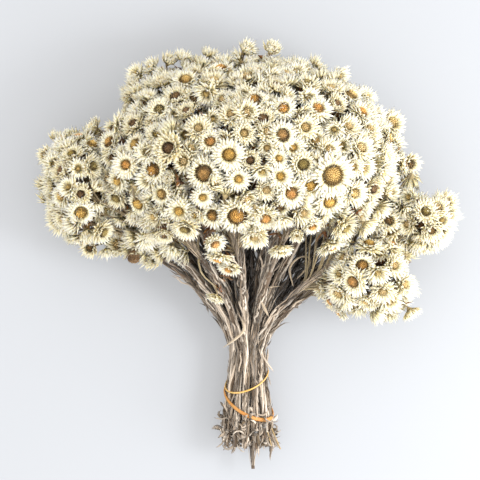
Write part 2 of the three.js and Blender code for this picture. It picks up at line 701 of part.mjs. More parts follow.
function makeBunch() {
  const draw = makeDraw(SEED);
  const heads = placeHeads(draw);
  const cells = makeCells();
  shareOut(heads, cells);
  const bunch = new THREE.Group();
  cells.forEach((cell, index) => {
    const number = String(index + 1).padStart(2, "0");
    const own = heads.filter((head) => head.cell === cell);
    const cutEnd = index === 0 ? LONGEST_CUT_END : CUT_END + draw(-CUT_SCATTER, CUT_SCATTER);
    const fork = forkOf(own, cell);
    const stem = makeStem(cell, cutEnd, fork, draw);
    bunch.add(namedMesh("stem_" + number, fromSolid(stem.solid), STEM_GREY));
    bunch.add(namedMesh("blooms_" + number, fromSolid(makeBlooms(own, cell, stem)), CREAM));
  });
  bunch.add(namedMesh("orange_band", makeBand(ORANGE_BAND), ORANGE_RUBBER));
  bunch.add(namedMesh("yellow_band", makeBand(YELLOW_BAND), YELLOW_RUBBER));
  const box = new THREE.Box3().setFromObject(bunch);
  const middle = box.getCenter(new THREE.Vector3());
  bunch.position.set(-middle.x, -middle.y, -box.min.z);
  return bunch;
}

export default makeBunch();
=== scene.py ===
"""A bunch of dried everlasting daisies, held by two rubber bands and laid on its side.

The bunch is worked out in millimetres, with y = 0 at the middle of the tie, y along the bunch
towards the flowers, and z = 0 on the surface. Each finished mesh is moved into the row frame.
"""

from __future__ import annotations

import logging
import math
from dataclasses import dataclass, field
from enum import Enum

import bmesh
import bpy
import numpy as np
from mathutils import Matrix, Vector


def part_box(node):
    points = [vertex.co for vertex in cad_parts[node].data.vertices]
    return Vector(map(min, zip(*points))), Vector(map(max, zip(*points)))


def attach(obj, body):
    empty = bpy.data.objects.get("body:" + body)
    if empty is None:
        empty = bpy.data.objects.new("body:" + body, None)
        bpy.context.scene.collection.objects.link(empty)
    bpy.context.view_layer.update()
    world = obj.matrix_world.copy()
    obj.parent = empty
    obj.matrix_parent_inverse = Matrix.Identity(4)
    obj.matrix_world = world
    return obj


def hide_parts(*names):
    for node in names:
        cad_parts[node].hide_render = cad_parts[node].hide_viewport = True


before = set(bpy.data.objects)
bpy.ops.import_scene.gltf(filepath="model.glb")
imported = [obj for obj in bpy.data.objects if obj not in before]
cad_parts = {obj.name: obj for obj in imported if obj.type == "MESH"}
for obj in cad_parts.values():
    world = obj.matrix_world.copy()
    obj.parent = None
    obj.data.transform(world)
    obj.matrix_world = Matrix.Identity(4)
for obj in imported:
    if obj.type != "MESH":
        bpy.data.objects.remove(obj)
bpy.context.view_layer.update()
MILLIMETRE = 0.001
GOLDEN_ANGLE = math.pi * (3 - math.sqrt(5))
UP = np.array([0.0, 0.0, 1.0])
NEARLY_UPRIGHT = 0.9
# Below this height, in millimetres, what lies on the surface starts to give.
SOFT_HEIGHT = 3.0
# A spray's number is added to the seeds of its stem and of its daisies.
STEM_SEED = 100
BLOOM_SEED = 200
# The solids' bands have this many sides.
SOLID_BAND_SIDES = 26

Span = tuple[float, float]
Triple = tuple[float, float, float]
Array = np.ndarray
Rng = np.random.Generator
Socket = bpy.types.NodeSocket

logging.basicConfig(level=logging.INFO, format="%(message)s")
log = logging.getLogger("bunch")


def clamp(value: float, low: float, high: float) -> float:
    """Keeps a value between two limits."""
    return max(low, min(high, value))


def unit(vector: Array) -> Array:
    """Scales a vector to length one."""
    return vector / np.linalg.norm(vector)


def linear(colour: int) -> Array:
    """Turns a screen colour, 0xRRGGBB, into linear light along the sRGB curve."""
    parts = np.array([(colour >> shift & 255) / 255 for shift in (16, 8, 0)])
    return np.where(parts <= 0.04045, parts / 12.92, ((parts + 0.055) / 1.055) ** 2.4)


def drawn_tone(tones: tuple[int, ...], rng: Rng) -> Array:
    """Draws one of a few screen colours and gives it in linear light."""
    return linear(tones[rng.integers(len(tones))])


def cross_axes(axis: Array, spin: float = 0.0) -> tuple[Array, Array]:
    """Finds two directions square to an axis.

    Args:
        axis: The axis, of length one.
        spin: The angle that both are turned by, round the axis.

    Returns:
        The side and the front, square to each other and to the axis.
    """
    helper = UP if abs(axis[2]) < NEARLY_UPRIGHT else np.array([0.0, 1.0, 0.0])
    side = unit(np.cross(helper, axis))
    front = np.cross(axis, side)
    turned = side * math.cos(spin) + front * math.sin(spin)
    return turned, np.cross(axis, turned)


class Draws:
    """The same draws on each run, in the order that the solids use them."""

    MODULUS = 2147483647
    FACTOR = 16807

    def __init__(self, seed: int) -> None:
        """Starts the draws from a seed."""
        self._state = seed

    def between(self, low: float, high: float) -> float:
        """Draws a number between two limits."""
        self._state = self._state * self.FACTOR % self.MODULUS
        return low + (high - low) * self._state / self.MODULUS


@dataclass(frozen=True)
class Flow:
    """How the stems run: their section is nearly round at the tie, and swells past it."""

    waist_y: float = 27.0
    waist_width: float = 0.82
    waist_height: float = 0.88
    cut_flare_width: float = 0.0067
    cut_flare_height: float = 0.0052
    fan_width: float = 4.1
    fan_width_power: float = 1.7
    fan_height: float = 1.59
    fan_height_power: float = 2.23
    fan_scale: float = 100.0
    axis_x: float = -2.0
    axis_tie_z: float = 24.0
    axis_flower_z: float = 62.0
    axis_rise_end: float = 170.0
    axis_end_slope: float = 0.03

    def section(self, y: float) -> Triple:
        """Gives the section at a place along the bunch.

        Args:
            y: The place, from the middle of the tie.

        Returns:
            The height of its middle, and its width and height as shares of the tie's.
        """
        share = clamp((y - self.waist_y) / (self.axis_rise_end - self.waist_y), 0, 1)
        rise = share * share * (3 - 2 * share)
        middle = (1 - rise) * self.axis_tie_z + rise * self.axis_flower_z
        middle += self.axis_end_slope * min(y - self.waist_y, 0)
        if y < self.waist_y:
            below = self.waist_y - y
            width = self.waist_width + self.cut_flare_width * below
            return middle, width, self.waist_height + self.cut_flare_height * below
        past = (y - self.waist_y) / self.fan_scale
        width = self.waist_width + self.fan_width * past**self.fan_width_power
        return middle, width, self.waist_height + self.fan_height * past**self.fan_height_power

    def to_tie(self, point: Array) -> Array:
        """Gives a point's place in the tie, as x and z, with its own y."""
        z, width, height = self.section(point[1])
        return np.array([(point[0] - self.axis_x) / width, point[1], (point[2] - z) / height])

    def from_tie(self, place: Array) -> Array:
        """Gives the point that has a place in the tie."""
        z, width, height = self.section(place[1])
        return np.array([self.axis_x + place[0] * width, place[1], z + place[2] * height])


@dataclass(frozen=True)
class Ring:
    """A ring of stems in the tie."""

    stems: int
    radius: float
    start: float


@dataclass(frozen=True, eq=False)
class Cell:
    """The part of the section that belongs to one spray, with a wall towards each other stem."""

    number: int
    site: Array
    walls: list[tuple[Array, Array]]


@dataclass(frozen=True)
class Tie:
    """The stems' places where they are tied, and the cells round them."""

    flow: Flow
    rings: tuple[Ring, ...] = (Ring(3, 3.7, 0.52), Ring(9, 9.7, 0.35), Ring(14, 15.7, 0.3))
    stem_radius: float = 2.6
    leaf_root: float = 0.6
    push_passes: int = 6

    def leaf_lift(self) -> Array:
        """Gives the step from a stem's middle to where its leaves are rooted."""
        return UP * (self.stem_radius * self.leaf_root)

    def cells(self) -> list[Cell]:
        """Lays out the stems ring by ring, and walls them off from each other.

        Returns:
            One cell for each stem.
        """
        sites = []
        for ring in self.rings:
            for i in range(ring.stems):
                angle = ring.start + 2 * math.pi * i / ring.stems
                sites.append(np.array([math.cos(angle), math.sin(angle)]) * ring.radius)
        made = []
        for i, site in enumerate(sites):
            others = [other for j, other in enumerate(sites) if j != i]
            walls = [(unit(site - other), (site + other) * 0.5) for other in others]
            made.append(Cell(i + 1, site, walls))
        return made

    def push(self, point: Array, cell: Cell, room: float) -> Array:
        """Moves a point away from each wall of a cell that is nearer than the room it needs.

        Args:
            point: The point, which is changed.
            cell: The cell it has to lie in.
            room: The distance it needs from the walls.

        Returns:
            The same point.
        """
        z, width, height = self.flow.section(point[1])
        for _ in range(self.push_passes):
            for normal, middle in cell.walls:
                slope = np.array([normal[0] / width, normal[1] / height])
                steepness = math.hypot(slope[0], slope[1])
                across = (point[0] - self.flow.axis_x) / width - middle[0]
                over = (point[2] - z) / height - middle[1]
                distance = (normal[0] * across + normal[1] * over) / steepness
                short = max(0.0, room - distance)
                point[0] += slope[0] / steepness * short
                point[2] += slope[1] / steepness * short
        return point


@dataclass(frozen=True)
class DiscTones:
    """The colours of a daisy's disc, from its heart to its rim."""

    heart: int
    ring: int
    rim: int


@dataclass(frozen=True)
class BractTones:
    """The colours of a bract: where it grows, its blade, its tip, and the weathered outer ones."""

    root: int = 0xCFBB80
    blade: int = 0xF5EAC8
    tip: int = 0xFCF8E6
    weathered: int = 0xD4C28A
    root_end: float = 0.5
    tip_start: float = 0.6
    root_ageing: float = 0.5
    tip_ageing: float = 0.6

    def along(self, share: Array, age: float) -> Array:
        """Colours a bract from its root to its tip.

        Args:
            share: How far along the bract each of its points lies.
            age: How weathered it is, from 0 to 1.

        Returns:
            A colour for each point.
        """
        old = linear(self.weathered)
        blade = linear(self.blade) * (1 - age) + old * age
        root = linear(self.root) * (1 - self.root_ageing * age) + old * self.root_ageing * age
        tip = linear(self.tip) * (1 - self.tip_ageing * age) + old * self.tip_ageing * age
        low = np.clip(share / self.root_end, 0, 1)
        high = np.clip((share - self.tip_start) / (1 - self.tip_start), 0, 1)
        return (root * (1 - low) + blade * low) * (1 - high) + tip * high


@dataclass(frozen=True)
class HeadLook:
    """How a kind of head looks: how far it is open, its disc's share, its colours, its dome."""

    open: float
    disc: float
    tones: DiscTones
    bracts: BractTones = BractTones()
    dome: float = 0.2


AGED = BractTones(root=0xC8B378, blade=0xF1E4BF, tip=0xF9F2D8, weathered=0xCAB57A)
OLD = BractTones(root=0xB9A26A, blade=0xEBDDB4, tip=0xF5ECD0, weathered=0xBEA86E)


class HeadKind(Enum):
    """The kinds of daisy head in the bunch."""

    GOLD = HeadLook(1.0, 0.38, DiscTones(0xF2CE74, 0xDFB55C, 0x7A5E26))
    YELLOW = HeadLook(1.0, 0.28, DiscTones(0xF0C963, 0xE6BD62, 0xA68338))
    ORANGE = HeadLook(0.8, 0.36, DiscTones(0xF0B257, 0xE4B062, 0x8A6530))
    UMBER = HeadLook(0.9, 0.43, DiscTones(0xE8B660, 0xC79A50, 0x5E4520))
    OLIVE = HeadLook(0.6, 0.38, DiscTones(0xC0A95E, 0xA18C50, 0x60502A), AGED)
    TAN = HeadLook(0.5, 0.32, DiscTones(0xECCD8C, 0xE4CA8E, 0xA98F58), AGED)
    BROWN = HeadLook(0.35, 0.4, DiscTones(0xA48256, 0x86694A, 0x4E3C26), OLD)
    BUD = HeadLook(0.1, 0.3, DiscTones(0xDEC37A, 0xDEC37A, 0x998050), AGED)
    SPENT = HeadLook(0.3, 0.92, DiscTones(0x8C6C44, 0x80623E, 0x6A5030), OLD, 0.8)
    BRUSH = HeadLook(0.45, 0.21, DiscTones(0xE0C47C, 0xD8BC74, 0x94804C))
    HUSK = HeadLook(0.3, 0.34, DiscTones(0x987846, 0x80653C, 0x473720), AGED)


class Rank(Enum):
    """How much of a head is seen: it is named, or fills the skin, or lies between and below.

    The higher the number, the fewer rows of bracts and the fewer florets a head has.
    """

    NAMED = 1
    FILL = 2
    HIDDEN = 3


# The kinds that the filling heads are drawn from.
FILL_KINDS = (
    HeadKind.TAN, HeadKind.GOLD, HeadKind.UMBER, HeadKind.OLIVE, HeadKind.TAN,
    HeadKind.BROWN, HeadKind.YELLOW, HeadKind.ORANGE, HeadKind.TAN, HeadKind.BUD,
)

# The named heads: x, y, diameter and kind, row by row from the far end of the bunch to the tie.
NAMED_HEADS = (
    (18, 291, 22, "bud"), (-26, 285, 23, "orange"), (1, 280, 16, "bud"), (-46, 279, 24, "brown"),
    (24, 278, 22, "tan"), (-101, 265, 19, "bud"), (-75, 264, 26, "tan"), (-55, 264, 28, "gold"),
    (-31, 263, 29, "tan"), (49, 262, 27, "olive"), (70, 258, 27, "tan"), (-93, 252, 21, "brown"),
    (74, 243, 22, "brown"), (-54, 237, 21, "brown"), (95, 236, 28, "orange"), (-16, 234, 26, "tan"),
    (11, 230, 26, "brown"), (118, 230, 18, "bud"), (-136, 225, 22, "tan"), (84, 224, 26, "tan"),
    (47, 223, 26, "tan"), (102, 222, 24, "tan"), (-44, 222, 27, "tan"), (-148, 219, 24, "orange"),
    (-162, 217, 22, "orange"), (-5, 218, 24, "tan"), (27, 216, 28, "umber"), (120, 215, 25, "gold"),
    (-34, 211, 24, "orange"), (-120, 211, 26, "umber"), (-98, 209, 26, "gold"), (37, 206, 25, "yellow"),
    (15, 206, 20, "tan"), (-65, 205, 31, "brown"), (-152, 201, 23, "olive"), (-18, 199, 31, "gold"),
    (115, 198, 27, "tan"), (23, 196, 23, "yellow"), (0, 195, 22, "brown"), (-134, 191, 24, "olive"),
    (-99, 191, 27, "orange"), (45, 191, 27, "olive"), (88, 190, 22, "tan"), (-82, 187, 27, "umber"),
    (-160, 186, 27, "brown"), (-39, 184, 32, "umber"), (71, 182, 45, "gold"), (23, 181, 27, "yellow"),
    (-10, 179, 26, "yellow"), (118, 179, 26, "tan"), (-67, 179, 17, "bud"), (-114, 177, 27, "yellow"),
    (105, 171, 25, "brown"), (14, 169, 23, "tan"), (35, 167, 31, "orange"), (-144, 166, 21, "brown"),
    (-115, 163, 24, "olive"), (-76, 165, 25, "gold"), (128, 162, 27, "gold"), (69, 160, 33, "gold"),
    (-44, 163, 22, "yellow"), (-93, 158, 27, "gold"), (-60, 152, 29, "yellow"), (150, 152, 25, "olive"),
    (45, 150, 27, "tan"), (94, 149, 27, "tan"), (-11, 148, 36, "umber"), (-32, 147, 25, "umber"),
    (-82, 146, 25, "tan"), (18, 146, 28, "orange"), (-160, 145, 25, "tan"), (132, 140, 23, "tan"),
    (-55, 137, 27, "olive"), (77, 137, 29, "olive"), (100, 138, 26, "brown"), (155, 136, 25, "husk"),
    (54, 136, 20, "orange"), (-125, 133, 25, "olive"), (-73, 132, 20, "brown"), (40, 132, 17, "bud"),
    (4, 130, 27, "tan"), (-86, 127, 23, "tan"), (102, 126, 27, "gold"), (121, 123, 26, "orange"),
    (67, 122, 31, "orange"), (-30, 124, 21, "orange"), (27, 116, 23, "olive"), (-31, 110, 28, "orange"),
    (-101, 111, 14, "spent"), (123, 106, 25, "tan"), (95, 106, 24, "umber"), (-18, 101, 23, "orange"),
    (88, 92, 29, "orange"), (132, 89, 24, "tan"), (60, 86, 22, "tan"), (114, 82, 26, "tan"),
    (67, 74, 26, "orange"), (100, 73, 25, "tan"), (-30, 74, 18, "olive"), (138, 66, 22, "brown"),
    (76, 63, 20, "orange"),
)


@dataclass
class Head:
    """One daisy head: its centre, the way out of the bunch there, its size and its own axis."""

    position: Array
    out: Array
    radius: float
    kind: HeadKind
    axis: Array = field(default_factory=lambda: UP.copy())
    spin: float = 0.0
    rank: Rank = Rank.NAMED

    def placed(self, points: Array, origin: Array | None = None) -> Array:
        """Places points given in the head's own axes, at an origin or at the head's centre."""
        centre = self.position if origin is None else origin
        return centre + points @ np.array([*cross_axes(self.axis, self.spin), self.axis])


@dataclass(frozen=True)
class Lobe:
    """A part of the flower mass: an egg with its lower side pressed flat."""

    x: float
    y: float
    z: float
    rx: float
    ry: float
    up: float
    down: float
    darts: int
    pressed_flat: float = 1.35
    overlap: float = 0.9

    def skin(self, way: Array, depth: float = 0.0) -> tuple[Array, Array]:
        """Finds the point of the skin in a direction of the unit ball.

        Args:
            way: The direction.
            depth: How far inside the skin the point lies, as a share of the lobe.

        Returns:
            The point, and the way out of the lobe there.
        """
        share = 1 - depth
        rise = self.up * way[2] if way[2] > 0 else -self.down * min(1, -self.pressed_flat * way[2])
        tall = self.up if way[2] > 0 else self.down
        offset = np.array([self.rx * way[0], self.ry * way[1], rise])
        out = unit(np.array([way[0] / self.rx, way[1] / self.ry, way[2] / tall]))
        return np.array([self.x, self.y, self.z]) + offset * share, out

    def holds(self, point: Array) -> bool:
        """Says if a point lies well inside the lobe.

        Args:
            point: The point.

        Returns:
            True if it does.
        """
        tall = self.up if point[2] > self.z else self.down
        away = (point - np.array([self.x, self.y, self.z])) / np.array([self.rx, self.ry, tall])
        return math.hypot(*away) < self.overlap


@dataclass(frozen=True)
class FlowerMass:
    """The daisies' places: the named heads, and those that fill the lobes between them."""

    flow: Flow
    lobes: tuple[Lobe, ...] = (
        Lobe(-5, 195, 62, 130, 88, 82, 57, 900),
        Lobe(-143, 174, 54, 29, 46, 46, 46, 200),
        Lobe(147, 148, 56, 24, 26, 34, 32, 90),
        Lobe(102, 99, 58, 38, 31, 38, 36, 140),
    )
    rim_tilt: float = 0.4
    top_spacing: float = 17.5
    side_spacing: float = 25.0
    under_spacing: float = 31.0
    facing: float = 0.35
    fill_radius: Span = (11.5, 15.0)
    bud_share: float = 0.75
    stem_clearance: float = 14.0
    stem_envelope: float = 20.0
    stem_reach_y: float = 140.0
    steady_radius: float = 17.0
    steady_range: float = 8.0
    least_stray: float = 0.1
    deepest: float = 7.0
    lean: float = 0.5
    lean_down: float = 0.4
    lean_up: float = 0.8
    head_lift: float = 0.3

    def crown_over(self, x: float, y: float) -> tuple[Array, Array]:
        """Finds the skin over a place in plan: on the highest lobe, or level with the nearest.

        Args:
            x: The place across the bunch.
            y: The place along the bunch.

        Returns:
            The point and the way out of the lobe there.
        """
        covers = []
        for lobe in self.lobes:
            plan = np.array([(x - lobe.x) / lobe.rx, (y - lobe.y) / lobe.ry, 0.0])
            reach = float(np.linalg.norm(plan))
            plan[2] = math.sqrt(max(0.0, 1 - reach * reach))
            covers.append((reach, lobe, plan))
        inside = [lobe.skin(plan) for reach, lobe, plan in covers if reach < 1]
        if inside:
            return max(inside, key=lambda skin: skin[0][2])
        _, lobe, plan = min(covers, key=lambda cover: cover[0])
        out = lobe.skin(plan)[1]
        return np.array([x, y, lobe.z]), unit(np.array([out[0], out[1], self.rim_tilt]))

    def stems_edge(self, y: float) -> float:
        """Gives the distance from the middle line, at the tie's scale, that clears the stems."""
        return self.stem_envelope + self.stem_clearance / self.flow.section(y)[2]

    def lift_off_stems(self, position: Array) -> Array:
        """Raises a named head until it stands on the fan of stems.

        Args:
            position: The head's centre.

        Returns:
            The raised centre.
        """
        place = self.flow.to_tie(position)
        if position[1] < self.stem_reach_y:
            edge = self.stems_edge(position[1])
            place[2] = max(place[2], math.sqrt(max(0.0, edge * edge - place[0] * place[0])))
        return self.flow.from_tie(place)

    def is_among_stems(self, point: Array) -> bool:
        """Says if a point lies in the fan of stems."""
        place = self.flow.to_tie(point)
        return point[1] < self.stem_reach_y and math.hypot(*place[[0, 2]]) < self.stems_edge(point[1])

    def spacing(self, out: Array) -> float:
        """Gives the spacing of the filling heads where the skin faces one way."""
        low = self.side_spacing if out[2] > -self.facing else self.under_spacing
        return self.top_spacing if out[2] > self.facing else low

    def darts(self, lobe: Lobe) -> list[Array]:
        """Spreads directions evenly over the unit ball, on a spiral.

        Args:
            lobe: The lobe that they are for.

        Returns:
            The directions, from the top to the bottom.
        """
        ways = []
        for i in range(lobe.darts):
            z = 1 - (2 * (i + 0.5)) / lobe.darts
            level = math.sqrt(1 - z * z)
            turn = i * GOLDEN_ANGLE
            ways.append(np.array([level * math.cos(turn), level * math.sin(turn), z]))
        return ways

    def is_free(self, point: Array, heads: list[Head], spacing: float, lobe: Lobe) -> bool:
        """Says if a head may stand at a point.

        Args:
            point: The point.
            heads: The heads so far.
            spacing: The least distance to each of them.
            lobe: The lobe that the point belongs to.

        Returns:
            True if it is clear of the other lobes, the heads and the stems.
        """
        if any(other is not lobe and other.holds(point) for other in self.lobes):
            return False
        nearest = min(float(np.linalg.norm(head.position - point)) for head in heads)
        return nearest >= spacing and not self.is_among_stems(point)

    def lift_off_surface(self, head: Head) -> None:
        """Keeps a head on the surface that the bunch lies on."""
        head.position[2] = max(head.position[2], head.radius * self.head_lift)

    def heads(self, draws: Draws) -> list[Head]:
        """Places the heads that the solids have too.

        Args:
            draws: The bunch's draws.

        Returns:
            The heads, with their axes.
        """
        heads = []
        for x, y, diameter, kind in NAMED_HEADS:
            position, out = self.crown_over(x, y)
            position = self.lift_off_stems(position)
            heads.append(Head(position, out, diameter / 2, HeadKind[kind.upper()]))
        for lobe in self.lobes:
            for way in self.darts(lobe):
                position, out = lobe.skin(way)
                if self.is_free(position, heads, self.spacing(out), lobe):
                    kind = FILL_KINDS[int(draws.between(0, len(FILL_KINDS)))]
                    radius = draws.between(*self.fill_radius)
                    radius *= self.bud_share if kind is HeadKind.BUD else 1
                    heads.append(Head(position, out, radius, kind, rank=Rank.FILL))
        for head in heads:
            self.let_stray(head, draws)
        return heads

    def let_stray(self, head: Head, draws: Draws) -> None:
        """Sinks and leans a head: the big ones stand squarely, and the small ones stray.

        Args:
            head: The head, which is changed.
            draws: The bunch's draws.
        """
        share = (self.steady_radius - head.radius) / self.steady_range
        stray = clamp(share, self.least_stray, 1)
        head.position = head.position - head.out * draws.between(0, self.deepest) * stray
        lean_x = draws.between(-1, 1)
        lean_y = draws.between(-1, 1)
        lean = np.array([lean_x, lean_y, draws.between(-self.lean_down, self.lean_up)])
        head.axis = unit(head.out + lean * self.lean * stray)
        head.spin = draws.between(0, math.pi)
        self.lift_off_surface(head)


@dataclass(frozen=True)
class Undergrowth:
    """The daisies that are half hidden between and under the others, which only the looks need."""

    mass: FlowerMass
    # The depth of each level, as a share of the lobe, and the spacing of its heads.
    levels: tuple[Span, ...] = ((0.04, 11.2), (0.18, 13.2))
    jitter: float = 1.5
    under_facing: float = -0.3
    under_factor: float = 2.0
    kinds: tuple[HeadKind, ...] = (
        HeadKind.BRUSH, HeadKind.TAN, HeadKind.BRUSH, HeadKind.HUSK, HeadKind.BRUSH,
        HeadKind.BUD, HeadKind.TAN, HeadKind.BRUSH, HeadKind.BRUSH,
    )
    # Single heads where the levels leave a hollow: their x, y and z.
    extra: tuple[Triple, ...] = (
        (109, 155, 84), (118, 144, 80), (108, 143, 78), (124, 155, 76), (113, 133, 76), (99, 158, 92),
        (118, 168, 80), (84, 126, 84), (84, 112, 82), (109, 118, 80), (120, 136, 72), (70, 148, 100),
        (-113, 124, 48), (-102, 122, 54), (-90, 118, 60), (-78, 116, 63), (-67, 118, 66),
        (-116, 138, 58), (-104, 136, 64), (-96, 128, 62), (-82, 126, 68), (-57, 117, 66),
        (-137, 121, 42), (-122, 119, 44), (-86, 114, 52), (-80, 112, 58),
        (-97, 270, 54), (-84, 275, 56), (-70, 280, 58), (-57, 283, 60), (-4, 289, 60), (58, 275, 58),
        (76, 268, 58), (99, 251, 56), (122, 228, 54), (125, 213, 54), (137, 193, 52), (138, 181, 54),
        (-174, 200, 44), (-175, 176, 44), (-165, 213, 46), (-171, 163, 44),
        (112, 94, 62), (127, 76, 48), (118, 66, 44), (130, 82, 50), (110, 189, 66), (104, 96, 66),
        (122, 118, 64), (132, 126, 60),
        (-119, 156, 79), (-111, 146, 78), (-99, 131, 77), (-68, 122, 78), (-88, 129, 79),
        (-2, 291, 60), (-36, 285, 60), (162, 130, 50), (135, 85, 46), (146, 158, 64), (140, 128, 62),
    )
    # The notches of the outline: their x, y and radius.
    gaps: tuple[Triple, ...] = ((-119, 241, 17), (155, 178, 20), (144, 104, 14))
    gap_set_in: float = 12.0
    radius: Span = (10.8, 14.2)
    lean: float = 0.7
    lowest: float = 7.0

    def is_in_gap(self, point: Array) -> bool:
        """Says if a point lies in one of the notches of the outline."""
        return any(math.hypot(point[0] - x, point[1] - y) < r for x, y, r in self.gaps)

    def clear_gaps(self, heads: list[Head]) -> None:
        """Sets the filling heads that stand in a notch of the outline further in.

        Args:
            heads: The heads, some of which are changed.
        """
        for head in heads:
            if head.rank is Rank.FILL and self.is_in_gap(head.position):
                head.position = head.position - head.out * self.gap_set_in

    def heads(self, others: list[Head], seed: int) -> list[Head]:
        """Fills what is left free between the heads, on the skin and then below it.

        Args:
            others: The heads that are already there.
            seed: The seed of its draws.

        Returns:
            The heads that it adds.
        """
        rng = np.random.default_rng(seed)
        standing = list(others)
        for x, y, z in self.extra:
            out = self.mass.crown_over(x, y)[1]
            standing.append(self.head(np.array([x, y, z], float), out, rng))
        for depth, level_spacing in self.levels:
            for lobe in self.mass.lobes:
                for way in self.mass.darts(lobe):
                    position, out = lobe.skin(way, depth)
                    position = position + rng.normal(0, self.jitter, 3)
                    position[2] = max(position[2], self.lowest)
                    under = out[2] < self.under_facing
                    spacing = level_spacing * (self.under_factor if under else 1)
                    free = self.mass.is_free(position, standing, spacing, lobe)
                    if free and not self.is_in_gap(position):
                        standing.append(self.head(position, out, rng))
        return standing[len(others):]

    def head(self, position: Array, out: Array, rng: Rng) -> Head:
        """Draws a head for a place.

        Args:
            position: The head's centre.
            out: The way out of the bunch there.
            rng: The draws.

        Returns:
            The head, which leans at random.
        """
        kind = self.kinds[rng.integers(len(self.kinds))]
        axis = unit(out + rng.normal(0, self.lean, 3))
        radius, spin = rng.uniform(*self.radius), rng.uniform(0, math.pi)
        return Head(position, out, radius, kind, axis, spin, Rank.HIDDEN)


@dataclass
class Spray:
    """One flowering spray: its cell, its heads, and the line of its stem up to the fork."""

    cell: Cell
    heads: list[Head]
    cut_end: float
    fork: Array


@dataclass(frozen=True)
class Bunch:
    """Shares the heads out among the sprays and works out where each spray forks."""

    flow: Flow
    tie: Tie
    mass: FlowerMass
    undergrowth: Undergrowth
    seed: int = 20731
    looks_seed: int = 4107
    head_room: float = 0.42
    cut_end: float = -45.0
    cut_scatter: float = 8.0
    longest_cut_end: float = -70.0
    fork_setback: float = 40.0
    fork_nearest: float = 78.0
    fork_furthest: float = 190.0
    fork_spread: float = 24.0
    fork_room: float = 1.0
    # The solids draw the place and the turn of a leaf here, so the looks draw as often, to keep step.
    solid_leaf_draws: int = 2

    def nearest_cell(self, head: Head, cells: list[Cell]) -> Cell:
        """Finds the cell that a head lies in."""
        place = self.flow.to_tie(head.position)[[0, 2]]
        return min(cells, key=lambda cell: float(np.linalg.norm(cell.site - place)))

    def sprays(self) -> list[Spray]:
        """Makes the sprays in the order of their cells.

        Returns:
            One spray for each cell.
        """
        draws = Draws(self.seed)
        cells = self.tie.cells()
        heads = self.mass.heads(draws)
        owned: list[list[Head]] = [[] for _ in cells]
        for head in heads:
            cell = self.nearest_cell(head, cells)
            self.tie.push(head.position, cell, self.head_room * head.radius)
            self.mass.lift_off_surface(head)
            owned[cell.number - 1].append(head)
        sprays = []
        for cell in cells:
            first = cell.number == 1
            scatter = 0.0 if first else draws.between(-self.cut_scatter, self.cut_scatter)
            cut_end = self.longest_cut_end if first else self.cut_end + scatter
            for _ in range(self.solid_leaf_draws):
                draws.between(0, 1)
            sprays.append(Spray(cell, owned[cell.number - 1], cut_end, self.fork(cell, owned)))
        self.undergrowth.clear_gaps(heads)
        for head in self.undergrowth.heads(heads, self.looks_seed):
            owned[self.nearest_cell(head, cells).number - 1].append(head)
        return sprays

    def fork(self, cell: Cell, owned: list[list[Head]]) -> Array:
        """Finds where a spray forks: on the way to the middle of its heads, set back.

        Args:
            cell: The spray's cell.
            owned: The heads of each cell.

        Returns:
            The fork's place in the tie, with its own y.
        """
        places = [self.flow.to_tie(head.position) for head in owned[cell.number - 1]]
        middle = np.mean(places, axis=0)
        keep = min(1.0, self.fork_spread / math.hypot(middle[0], middle[2]))
        y = clamp(middle[1] - self.fork_setback, self.fork_nearest, self.fork_furthest)
        fork = self.flow.from_tie(np.array([middle[0] * keep, y, middle[2] * keep]))
        return self.flow.to_tie(self.tie.push(fork, cell, self.tie.stem_radius + self.fork_room))


class Line:
    """A smooth line through a few points, that can be asked for a place and a way along it."""

    SAMPLES = 121
    HALF_STEP = 0.004

    def __init__(self, points: list[Array], start: Array, end: Array) -> None:
        """Keeps the points, and works out the way at each of them.

        Args:
            points: The points that the line passes through.
            start: The way at the first point, whose length sets how far it is held.
            end: The way at the last point.
        """
        self.points = np.array(points)
        middle = (self.points[2:] - self.points[:-2]) * 0.5
        self.ways = np.vstack([start[None], middle, end[None]])
        self.shares = np.linspace(0, 1, self.SAMPLES)
        steps = np.linalg.norm(np.diff(self.at(self.shares), axis=0), axis=1)
        self.run = np.concatenate([[0.0], np.cumsum(steps)])

    def at(self, share: Array) -> Array:
        """Gives the points at shares of the way along.

        Args:
            share: The shares, from 0 to 1.

        Returns:
            A point for each share.
        """
        spans = len(self.points) - 1
        place = np.clip(share, 0, 1) * spans
        index = np.minimum(place.astype(int), spans - 1)
        t = (place - index)[:, None]
        p, q = self.points[index], self.points[index + 1]
        v, w = self.ways[index], self.ways[index + 1]
        hold = (1 + 2 * t) * (1 - t) ** 2 * p + t * (1 - t) ** 2 * v
        return hold + t**2 * (3 - 2 * t) * q + t**2 * (t - 1) * w

    def way(self, share: Array) -> Array:
        """Gives the way along the line at shares of it, each of length one."""
        ahead = self.at(share + self.HALF_STEP) - self.at(share - self.HALF_STEP)
        return ahead / np.linalg.norm(ahead, axis=1, keepdims=True)

    def length(self) -> float:
        """Gives the line's length."""
        return float(self.run[-1])

    def evenly(self, share: Array) -> Array:
        """Turns shares of the length into shares that the line's other methods take."""
        return np.interp(share, self.run / self.run[-1], self.shares)


def freed_mesh(name: str, form: bmesh.types.BMesh) -> bpy.types.Mesh:
    """Turns a form into a mesh.

    Args:
        name: The mesh's name.
        form: The form, which is freed.

    Returns:
        The mesh.
    """
    mesh = bpy.data.meshes.new(name)
    form.to_mesh(mesh)
    form.free()
    return mesh


def new_object(name: str, data: bpy.types.ID) -> bpy.types.Object:
    """Puts an object with a mesh, a light or a camera in the scene.

    Args:
        name: The object's name.
        data: Its mesh, light or camera.

    Returns:
        The object.
    """
    made = bpy.data.objects.new(name, data)
    bpy.context.scene.collection.objects.link(made)
    return made


